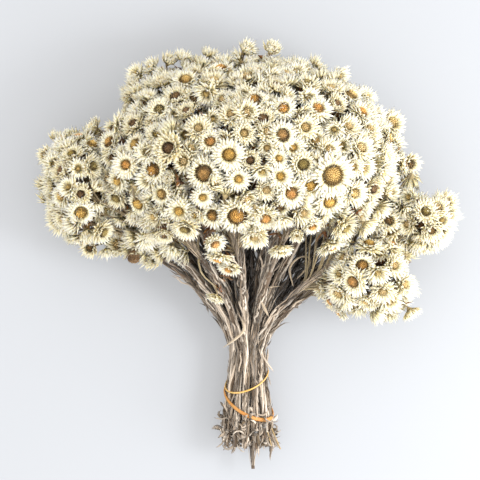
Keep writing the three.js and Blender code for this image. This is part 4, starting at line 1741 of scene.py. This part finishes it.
    def add_head(self, piece: Piece, head: Head, rng: Rng) -> None:
        """Adds one daisy head: its rows of bracts, its cup and its disc.

        Args:
            piece: What it goes into.
            head: The head.
            rng: The draws.
        """
        look = head.kind.value
        disc = head.radius * look.disc * rng.uniform(*self.disc_sizes)
        bract = self.bracts[head.rank]
        lean = (rng.uniform(0, 2 * math.pi), rng.uniform(*self.rosette_lift))
        for index, row in enumerate(self.rows[: len(self.rows) + 1 - head.rank.value]):
            whorl = self.bract_habit.whorl(head, disc, row, 0.5 * (index % 2), lean, rng)
            shade = rng.uniform(*self.bract_tones, (len(whorl.turns), 1, 1))
            tones = look.bracts.along(bract.points[None, :, 0:1], row.weathered) * shade
            piece.add(bract, head.placed(whorl.lay(bract)), tones)
        self.add_cup(piece, head, disc)
        self.discs.dress(piece, head, disc, rng)

    def add_cup(self, piece: Piece, head: Head, disc: float) -> None:
        """Adds the cup under a head, which widens from the stalk to the disc.

        Args:
            piece: What it goes into.
            head: The head.
            disc: The radius of its disc.
        """
        base = head.position - head.axis * self.head_base * head.radius
        hold = head.axis * head.radius * self.cup_hold
        radii = np.array([self.stalk_radius, *(disc * width for width in self.cup_widths)])
        cup = self.cup.along(Line([base, head.position], hold, hold), radii)
        piece.add(self.cup, cup, linear(self.cup_tone))


def one_blade(length: float, width: float, rise: float, curl: float, twist: float) -> Whorl:
    """Makes a whorl of one blade, with its rise and curl in degrees and its twist in radians."""
    angles = (math.radians(rise), math.radians(curl), twist, 0.0)
    return Whorl(np.array([length]), np.array([width]), *(np.array([angle]) for angle in angles))


def lain_along(points: Array, origin: Array, ahead: Array, out: Array) -> Array:
    """Places a blade that grows along something, with its upper side facing out of it."""
    return origin + points @ np.array([ahead, np.cross(out, ahead), out])


def lain_on(points: Array, line: Line, share: float, out: Array, heading: float) -> Array:
    """Lays a blade along a line, so that it bends as the line does.

    Args:
        points: The blade's points, with x along it and z out of the line.
        line: The line.
        share: Where it is rooted, as a share of the line's length.
        out: The way that its upper side faces.
        heading: 1 if it points along the line, and -1 if it points back.

    Returns:
        The placed points.
    """
    place = share + heading * points[:, 0] / line.length()
    held = line.evenly(np.clip(place, 0, 1))
    middle, way = line.at(held), line.way(held)
    past = (place - np.clip(place, 0, 1)) * line.length()
    facing = out - way * (way @ out)[:, None]
    facing /= np.linalg.norm(facing, axis=1, keepdims=True)
    across = np.cross(facing, way * heading)
    return middle + way * past[:, None] + across * points[:, 1:2] + facing * points[:, 2:3]


@dataclass(frozen=True)
class Strand:
    """A single stray leaf or stalk: the spray it goes with, its knots, its radii and its colour."""

    spray: int
    knots: tuple[Triple, ...]
    radii: tuple[float, ...]
    tone: int


STRANDS = (
    Strand(13, ((13, -31, 30), (15.5, -39, 34), (18.7, -50, 31)), (0.55, 0.6, 0.55, 0.65), 0xA88D5C),
    Strand(13, ((17, -30, 27), (20.5, -39, 30), (26.4, -53, 26)), (0.55, 0.6, 0.55, 0.65), 0xA88D5C),
    Strand(
        15, ((-8, 62, 52), (-5, 51, 55), (-12, 43, 53), (-23, 35, 46)),
        (0.2, 1.0, 1.3, 0.8, 0.2), 0xB5A389,
    ),
    Strand(
        14, ((37, 88, 60), (34, 103, 63), (41, 112, 65), (50, 113, 65), (51, 106, 64), (40, 94, 60)),
        (0.3, 0.9, 1.3, 0.8, 1.2, 0.9, 0.2), 0x9C8A70,
    ),
    Strand(
        14, ((16, 62, 52), (10, 74, 55), (9, 80, 56), (13, 86, 57), (26, 88, 55)),
        (0.2, 1.5, 1.1, 0.5, 0.7, 0.9, 0.4, 0.2), 0xB3A187,
    ),
)


@dataclass(frozen=True)
class ShredHabit:
    """How the long shreds of bark run along a stem, and how much darker the sunken ones are painted, as
    painted shade.
    """

    count: int = 10
    knots: int = 13
    starts: Span = (0.0, 0.4)
    ends: Span = (0.6, 1.0)
    winding: Span = (0.8, 3.2)
    wander: float = 0.55
    off: Span = (0.9, 1.2)
    sinking: float = 0.25
    radius: float = 0.75
    radii: int = 10
    swell: Span = (0.45, 1.6)
    ribs: float = 0.3
    # The sunken shreds are painted darker, as painted shade, and the others a little lighter.
    light: float = 1.05
    sunken_painted_shade: float = 0.8


@dataclass(frozen=True)
class ShadeThicketHabit:
    """Dark leaves in the hollow between the stems, placed at the tie's scale; their dark tone is painted
    shade that stands in for the shadow in the hollow.
    """

    count: int = 130
    across: Span = (-13.0, 16.0)
    over: Span = (-13.0, 3.0)
    y: Span = (42.0, 118.0)
    ahead: float = 5.0
    disorder: float = 0.9
    leaf: LeafHabit = LeafHabit((18.0, 40.0), (2.0, 4.0), None, (0.0, 25.0), 1.5)
    # Painted shade: the hollow's leaves are this dark, much darker than the other leaves.
    tone: int = 0x3C3023
    tones: Span = (0.3, 1.2)


@dataclass
class StemDresser:
    """Dresses the main stems: ribbed wood, long shreds of bark, and narrow felted leaves."""

    flow: Flow
    tie: Tie
    shred_habit: ShredHabit = ShredHabit()
    shade_thicket: ShadeThicketHabit = ShadeThicketHabit()
    fan_steps: int = 6
    fork_bend: float = 1.5
    fork_gap: float = 0.35
    core_share: float = 0.86
    core_knots: int = 24
    core_swell: Span = (0.82, 1.12)
    core_ribs: float = 0.22
    cut_narrowing: float = 0.6
    fork_narrowing: float = 0.7
    bark_tone: int = 0x5C4A38
    bark_tones: Span = (0.8, 1.15)
    leaf_step: float = 1.9
    leaf_end: float = 0.97
    leaf_jitter: float = 0.4
    leaf_length: Span = (11.0, 34.0)
    leaf_width: Span = (1.2, 3.0)
    leaf_rise: Span = (0.0, 6.0)
    leaf_curl: float = 10.0
    leaf_twist: float = 1.5
    leaf_tones: tuple[int, ...] = (0xC9B7A2, 0xBAA893, 0x9C8A76, 0x85735F, 0xDACBB8, 0x66553F)
    # Painted shade: the leaves that lie flat on the stem are painted darker than those that stand out.
    flat_light: float = 0.35
    raised_light: float = 0.7
    gnarl: float = 0.75
    gnarl_knots: int = 6
    gnarl_start: float = 3.0
    hanging_share: float = 0.3
    banded_y: float = -12.0
    banded_reach: float = 32.0
    banded_rise: float = 0.2
    inner_radius: float = 5.0
    inner_rise: Span = (4.0, 32.0)
    inner_curl: float = 24.0
    inner_widening: float = 0.8
    crumpled: int = 22
    crumpled_y: float = -20.0
    crumpled_crowding: float = 0.8
    crumpled_leaf: LeafHabit = LeafHabit((6.0, 15.0), (2.2, 5.0), (5.0, 48.0), (30.0, 90.0), 1.8)
    crumpled_tones: Span = (0.6, 1.1)
    crumpled_headings: tuple[float, ...] = (-1.0, -1.0, 1.0)
    strand_ribs: float = 0.15

    def __post_init__(self) -> None:
        """Makes the shapes that all stems share."""
        self.core = Rod("core", 7, 40, 0)
        self.shred = Rod("shred", 4, 18, 1)
        self.leaf = Blade("leaf", BladeCut((0.6, 1.0, 0.9, 0.95, 0.6), 0.4), 1)

    def line(self, spray: Spray) -> tuple[Line, Array, Array]:
        """Works out the line of a spray's main stem.

        Args:
            spray: The spray.

        Returns:
            The line, its end, and the way of the solid's last stretch.
        """
        site, fork = spray.cell.site, spray.fork
        points = [self.flow.from_tie(np.array([site[0], spray.cut_end, site[1]]))]
        for i in range(self.fan_steps + 1):
            share = i / self.fan_steps
            bent = share**self.fork_bend
            across = (1 - bent) * site[0] + bent * fork[0]
            over = (1 - bent) * site[1] + bent * fork[2]
            y = (1 - share) * self.flow.waist_y + share * fork[1]
            points.append(self.flow.from_tie(np.array([across, y, over])))
        ahead = unit(points[-1] - points[-2])
        points[-1] = points[-1] - ahead * self.fork_gap
        return Line(points, points[1] - points[0], points[-1] - points[-2]), points[-1], ahead

    def dress(self, spray: Spray, line: Line, seed: int) -> Piece:
        """Makes the main stem of a spray.

        Args:
            spray: The spray.
            line: The stem's line.
            seed: The seed of its draws.

        Returns:
            The piece, not yet finished.
        """
        rng = np.random.default_rng(seed)
        piece = Piece(f"dry_stem_{spray.cell.number:02d}")
        radii = self.tie.stem_radius * self.core_share * rng.uniform(*self.core_swell, self.core_knots)
        radii[:2] *= self.cut_narrowing
        radii[-1] = self.tie.stem_radius * self.fork_narrowing
        tone = linear(self.bark_tone) * rng.uniform(*self.bark_tones)
        piece.add(self.core, self.core.along(line, radii, self.core_ribs), tone)
        self.add_shreds(piece, line, rng)
        inner = bool(np.linalg.norm(spray.cell.site) < self.inner_radius)
        self.add_leaves(piece, line, inner, rng)
        # The inner stems fill the hollow with dark leaves, as painted shade.
        if inner:
            self.add_shade_thicket(piece, rng)
        else:
            self.add_crumpled_leaves(piece, line, rng)
        for strand in STRANDS:
            if strand.spray == spray.cell.number:
                self.add_strand(piece, strand)
        return piece

    def add_shreds(self, piece: Piece, line: Line, rng: Rng) -> None:
        """Adds long wrinkled strands that wander along the stem.

        Args:
            piece: What they go into.
            line: The stem's line.
            rng: The draws.
        """
        habit = self.shred_habit
        for i in range(habit.count):
            low, high = rng.uniform(*habit.starts), rng.uniform(*habit.ends)
            shares = line.evenly(np.linspace(low, high, habit.knots))
            winding = np.linspace(0, rng.uniform(*habit.winding), habit.knots)
            wander = np.cumsum(rng.normal(0, habit.wander, habit.knots)) + winding
            turn = i * GOLDEN_ANGLE + wander
            sunken = rng.uniform(0, 1)
            off = self.tie.stem_radius * (rng.uniform(*habit.off, habit.knots) - habit.sinking * sunken)
            middle, way = line.at(shares), line.way(shares)
            points = []
            for j in range(habit.knots):
                side, front = cross_axes(way[j])
                points.append(middle[j] + (side * math.cos(turn[j]) + front * math.sin(turn[j])) * off[j])
            held = Line(points, points[1] - points[0], points[-1] - points[-2])
            radii = habit.radius * rng.uniform(*habit.swell, habit.radii)
            # Painted shade: the more a shred sinks into the stem, the darker its tone.
            tone = drawn_tone(self.leaf_tones, rng) * (habit.light - habit.sunken_painted_shade * sunken)
            piece.add(self.shred, self.shred.along(held, radii, habit.ribs), tone)

    def add_leaves(self, piece: Piece, line: Line, inner: bool, rng: Rng) -> None:
        """Adds the felted leaves, which lie close under the bands and stand out in the hollow.

        Args:
            piece: What they go into.
            line: The stem's line.
            inner: Whether the stem lies in the middle of the bunch.
            rng: The draws.
        """
        count = int(line.length() / self.leaf_step)
        shares = (np.arange(count) + rng.uniform(0, 1, count)) / count * self.leaf_end
        places = line.evenly(shares)
        for i, (point, way) in enumerate(zip(line.at(places), line.way(places))):
            jitter = rng.uniform(-self.leaf_jitter, self.leaf_jitter)
            side, _ = cross_axes(way, i * GOLDEN_ANGLE + jitter)
            rise, curl = rng.uniform(*self.leaf_rise), rng.normal(0, self.leaf_curl)
            width = rng.uniform(*self.leaf_width)
            # Painted shade: a leaf's tone grows lighter the more it stands out from the stem.
            lit = self.flat_light + self.raised_light * rise / self.leaf_rise[1]
            tone = drawn_tone(self.leaf_tones, rng) * lit
            if abs(point[1] - self.banded_y) < self.banded_reach:
                rise *= self.banded_rise
            # Painted shade: the inner stems' leaves past the waist, which stand out in the hollow, take the
            # hollow's dark tone.
            if inner and point[1] > self.flow.waist_y:
                rise, curl = rng.uniform(*self.inner_rise), rng.normal(0, self.inner_curl)
                width += self.inner_widening
                tone = linear(self.shade_thicket.tone)
            length = rng.uniform(*self.leaf_length)
            whorl = one_blade(length, width, rise, curl, rng.normal(0, self.leaf_twist))
            laid = self.gnarled(whorl.lay(self.leaf)[0], rng) + self.tie.leaf_lift()
            hanging = rng.uniform() < self.hanging_share and point[1] > 0
            heading = -1.0 if hanging else 1.0
            piece.add(self.leaf, lain_on(laid, line, shares[i], side, heading), tone)

    def gnarled(self, points: Array, rng: Rng) -> Array:
        """Waves a leaf from side to side and up and down.

        Args:
            points: The leaf's points, with x along it.
            rng: The draws.

        Returns:
            The waved points.
        """
        shares = np.linspace(0, 1, self.gnarl_knots)
        waves = rng.normal(0, self.gnarl, (2, self.gnarl_knots)) * np.minimum(1, self.gnarl_start * shares)
        along = points[:, 0] / max(points[:, 0].max(), 1.0)
        sideways, upwards = (np.interp(along, shares, wave) for wave in waves)
        return points + np.stack([0 * along, sideways, np.abs(upwards)], axis=1)

    def add_shade_thicket(self, piece: Piece, rng: Rng) -> None:
        """Fills the hollow between the stems with dark leaves, which run as the stems do; their dark tone is
        painted shade.

        Args:
            piece: What they go into.
            rng: The draws.
        """
        habit = self.shade_thicket
        for _ in range(habit.count):
            across, over, y = (rng.uniform(*span) for span in (habit.across, habit.over, habit.y))
            point = self.flow.from_tie(np.array([across, y, over]))
            further = self.flow.from_tie(np.array([across, y + habit.ahead, over]))
            way = unit(further - point + rng.normal(0, habit.disorder, 3))
            side, _ = cross_axes(way, rng.uniform(0, 2 * math.pi))
            laid = habit.leaf.leaf(rng).lay(self.leaf)[0]
            # Painted shade: each leaf gets the hollow's dark tone.
            tone = linear(habit.tone) * rng.uniform(*habit.tones)
            piece.add(self.leaf, lain_along(laid, point, way, side), tone)

    def add_crumpled_leaves(self, piece: Piece, line: Line, rng: Rng) -> None:
        """Adds the short crumpled leaves round the cut end.

        Args:
            piece: What they go into.
            line: The stem's line.
            rng: The draws.
        """
        reach = (self.crumpled_y - line.points[0][1]) / line.length()
        places = line.evenly(rng.uniform(0, 1, self.crumpled) ** self.crumpled_crowding * reach)
        for point, way in zip(line.at(places), line.way(places)):
            side, _ = cross_axes(way, rng.uniform(0, 2 * math.pi))
            whorl = self.crumpled_leaf.leaf(rng)
            tone = drawn_tone(self.leaf_tones, rng) * rng.uniform(*self.crumpled_tones)
            laid = whorl.lay(self.leaf)[0] + self.tie.leaf_lift()
            ahead = way * rng.choice(self.crumpled_headings)
            piece.add(self.leaf, lain_along(laid, point, ahead, side), tone)

    def add_strand(self, piece: Piece, strand: Strand) -> None:
        """Adds a stray leaf or stalk.

        Args:
            piece: What it goes into.
            strand: The strand.
        """
        knots = [np.array(knot, float) for knot in strand.knots]
        held = Line(knots, knots[1] - knots[0], knots[-1] - knots[-2])
        rod = self.shred.along(held, np.array(strand.radii), self.strand_ribs)
        piece.add(self.shred, rod, linear(strand.tone))


@dataclass(frozen=True)
class Band:
    """A rubber band: the y of its middle, and how far its right side and its top lie from it."""

    name: str
    node: str
    y: float
    right: float
    top: float
    width: float
    thickness: float

    def y_at(self, turn: float) -> float:
        """Gives the y of the band at an angle round the stems."""
        return self.y + self.right * math.cos(turn) + self.top * math.sin(turn)


ORANGE_BAND = Band("orange_rubber_band", "orange_band", -12, -10, -11.5, 3.4, 1.7)
YELLOW_BAND = Band("yellow_rubber_band", "yellow_band", 8.5, 6.8, -10.5, 1.5, 1.3)


@dataclass
class BandDresser:
    """Winds the rubber bands round the tied stems."""

    flow: Flow
    tie: Tie
    gap: float = 0.45
    steps: int = 96
    sides: int = 8

    def dress(self, band: Band) -> bpy.types.Object:
        """Makes a band as a round, slightly uneven loop of flat rubber.

        Args:
            band: The band.

        Returns:
            The band's object, in the tie's frame and in millimetres.
        """
        form = bmesh.new()
        first = list(bmesh.ops.create_circle(form, cap_ends=False, segments=self.sides, radius=0.5)["verts"])
        bmesh.ops.scale(form, vec=(band.thickness, band.width, 1), verts=first)
        edges = list(form.edges)
        rings = [first]
        for _ in range(1, self.steps):
            verts, edges = grown(form, edges)
            rings.append(verts)
        first_edges = [edge for edge in form.edges if set(first).issuperset(edge.verts)]
        outer = self.tie.rings[-1].radius
        off = self.tie.stem_radius + self.gap + band.thickness / 2
        for i, verts in enumerate(rings):
            turn = 2 * math.pi * i / self.steps
            y = band.y_at(turn)
            z, width, height = self.flow.section(y)
            across = math.cos(turn) * (outer * width + off)
            over = math.sin(turn) * (outer * height + off)
            middle = Vector((self.flow.axis_x + across, y, z + over))
            out = Vector((math.cos(turn), 0, math.sin(turn)))
            for vert in verts:
                vert.co = middle + out * vert.co.x + Vector((0, 1, 0)) * vert.co.y
        bmesh.ops.bridge_loops(form, edges=edges + first_edges)
        bmesh.ops.recalc_face_normals(form, faces=form.faces)
        for face in form.faces:
            face.smooth = True
        return new_object(band.name, freed_mesh(band.name, form))


@dataclass(frozen=True)
class SoftLight:
    """A square soft light: where it hangs, the length of its sides, its power and its colour."""

    name: str
    place: Triple
    size: float
    power: float
    colour: Triple


@dataclass(frozen=True)
class Studio:
    """The pale floor, two soft lights from the right, and the camera straight above."""

    frame_width: float = 0.408
    flower_height: float = 0.1
    centre: Span = (-0.0085, 0.1275)
    distance: float = 5.0
    sensor: float = 36.0
    clip_end: float = 100.0
    floor_reach: float = 6.0
    floor_tone: int = 0x8F9297
    # The floor's glow is painted light: the floor glows though it is no lamp, which lifts the shadows on it
    # and lights the bunch from below; its tone is darker to make up for it.
    floor_glow: float = 0.24
    cloud_scale: float = 2.0
    cloud_range: Span = (0.985, 1.0)
    lights: tuple[SoftLight, ...] = (
        SoftLight("key", (0.8, -0.1, 0.87), 0.38, 8.2, (0.98, 0.992, 1.0)),
        SoftLight("low", (0.75, -0.3, 0.25), 0.5, 4.6, (0.99, 0.995, 1.0)),
    )
    aim: Triple = (0.0, 0.0, 0.05)
    sky_colour: tuple[float, ...] = (1.0, 0.985, 0.965, 1.0)
    sky_strength: float = 1.82

    def build(self, shift: Vector) -> None:
        """Makes the studio.

        Args:
            shift: The move from the tie's frame to the row frame, in metres.
        """
        self.lay_floor()
        self.hang_camera(shift)
        for light in self.lights:
            self.hang_light(light)
        self.light_sky()
        bpy.context.scene.view_settings.view_transform = "Standard"

    def lay_floor(self) -> None:
        """Lays the floor, which glows a little though it is no lamp: painted light, so that it comes out
        pale and the shadows on it are lifted.
        """
        form = bmesh.new()
        bmesh.ops.create_grid(form, x_segments=1, y_segments=1, size=self.floor_reach)
        floor = new_object("floor", freed_mesh("floor", form))
        recipe = Recipe("floor_card")
        places = recipe.add("ShaderNodeTexCoord").outputs["Object"]
        cloud = recipe.noise(places, self.cloud_scale)
        tone = recipe.add("ShaderNodeRGB")
        tone.outputs[0].default_value = (*linear(self.floor_tone), 1.0)
        recipe.shade(
            Base_Color=recipe.scaled(tone.outputs[0], recipe.span(cloud, *self.cloud_range)),
            Roughness=0.9,
            Specular_IOR_Level=0.2,
            # Painted light: the floor glows.
            Emission_Color=(1.0, 1.0, 1.0, 1.0),
            Emission_Strength=self.floor_glow,
        )
        floor.data.materials.append(recipe.material)

    def hang_camera(self, shift: Vector) -> None:
        """Hangs the camera over the bunch, with the flowers at the top of the picture.

        Args:
            shift: The move from the tie's frame to the row frame, in metres.
        """
        data = bpy.data.cameras.new("camera")
        data.sensor_width = self.sensor
        data.lens = self.sensor * (self.distance - self.flower_height) / self.frame_width
        data.clip_end = self.clip_end
        camera = new_object("camera", data)
        camera.location = (self.centre[0] + shift.x, self.centre[1] + shift.y, self.distance)
        bpy.context.scene.camera = camera

    def hang_light(self, light: SoftLight) -> None:
        """Hangs a light that faces the bunch.

        Args:
            light: The light.
        """
        data = bpy.data.lights.new(light.name, "AREA")
        data.size = light.size
        data.energy = light.power
        data.color = light.colour
        lamp = new_object(light.name, data)
        lamp.location = light.place
        way = Vector(self.aim) - Vector(light.place)
        lamp.rotation_euler = way.to_track_quat("-Z", "Y").to_euler()

    def light_sky(self) -> None:
        """Lights the scene evenly from a pale sky."""
        world = bpy.data.worlds.new("sky")
        world.use_nodes = True
        background = world.node_tree.nodes["Background"]
        background.inputs["Color"].default_value = self.sky_colour
        background.inputs["Strength"].default_value = self.sky_strength
        bpy.context.scene.world = world


def frame_shift(bunch: Bunch) -> Vector:
    """Finds the move from the tie's frame to the row frame, from two solids in the frame.

    Args:
        bunch: The bunch.

    Returns:
        The move, in metres.
    """
    flow, tie = bunch.flow, bunch.tie
    low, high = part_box("orange_band")
    reach = []
    for turn in np.linspace(0, 2 * math.pi, SOLID_BAND_SIDES, endpoint=False):
        width = flow.section(ORANGE_BAND.y_at(turn))[1]
        off = tie.stem_radius + BandDresser.gap + ORANGE_BAND.thickness
        reach.append(math.cos(turn) * (tie.rings[-1].radius * width + off))
    middle = flow.axis_x + (max(reach) + min(reach)) / 2
    y_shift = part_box("stem_01")[0].y - bunch.longest_cut_end * MILLIMETRE
    return Vector(((low.x + high.x) / 2 - middle * MILLIMETRE, y_shift, 0))


def settle(piece: bpy.types.Object, node: str) -> None:
    """Hands a finished piece to the frame, in place of its solid, and reports it.

    Args:
        piece: The piece.
        node: The solid that it stands for.
    """
    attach(piece, "root")
    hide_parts(node)
    triangles = sum(len(face.vertices) - 2 for face in piece.data.polygons)
    log.info("%s: %d triangles", piece.name, triangles)


def main() -> None:
    """Builds the bunch and the studio."""
    flow = Flow()
    tie = Tie(flow)
    mass = FlowerMass(flow)
    bunch = Bunch(flow, tie, mass, Undergrowth(mass))
    shift = frame_shift(bunch)
    Studio().build(shift)
    stems = StemDresser(flow, tie)
    daisies = DaisyDresser(tie)
    head_finishes = [BRACT_PAPER.build(), DISC_FLORETS.build(), STALK_SKIN.build()]
    stem_finishes = [STEM_BARK.build(), LEAF_FELT.build()]
    sprays = bunch.sprays()
    heads = [head for spray in sprays for head in spray.heads]
    counts = {rank.name.lower(): sum(head.rank is rank for head in heads) for rank in Rank}
    log.info("%d daisies: %s", len(heads), counts)
    for spray in sprays:
        number = spray.cell.number
        line, end, ahead = stems.line(spray)
        stem = stems.dress(spray, line, STEM_SEED + number).finish(shift, stem_finishes)
        settle(stem, f"stem_{number:02d}")
        blooms = daisies.dress(spray, end, ahead, BLOOM_SEED + number).finish(shift, head_finishes)
        settle(blooms, f"blooms_{number:02d}")
    winder = BandDresser(flow, tie)
    finishes = (
        (ORANGE_BAND, RubberFinish("orange_rubber", 0xB0722A, 0xBE8C4C), "orange_rubber"),
        (YELLOW_BAND, RubberFinish("yellow_rubber", 0xCDA050, 0xDAB878), "yellow_rubber"),
    )
    for band, finish, slot in finishes:
        piece = winder.dress(band)
        piece.data.transform(Matrix.Translation(shift) @ Matrix.Scale(MILLIMETRE, 4))
        piece.data.materials.append(finish.build())
        settle(piece, band.node)


if __name__ == "__main__":
    main()
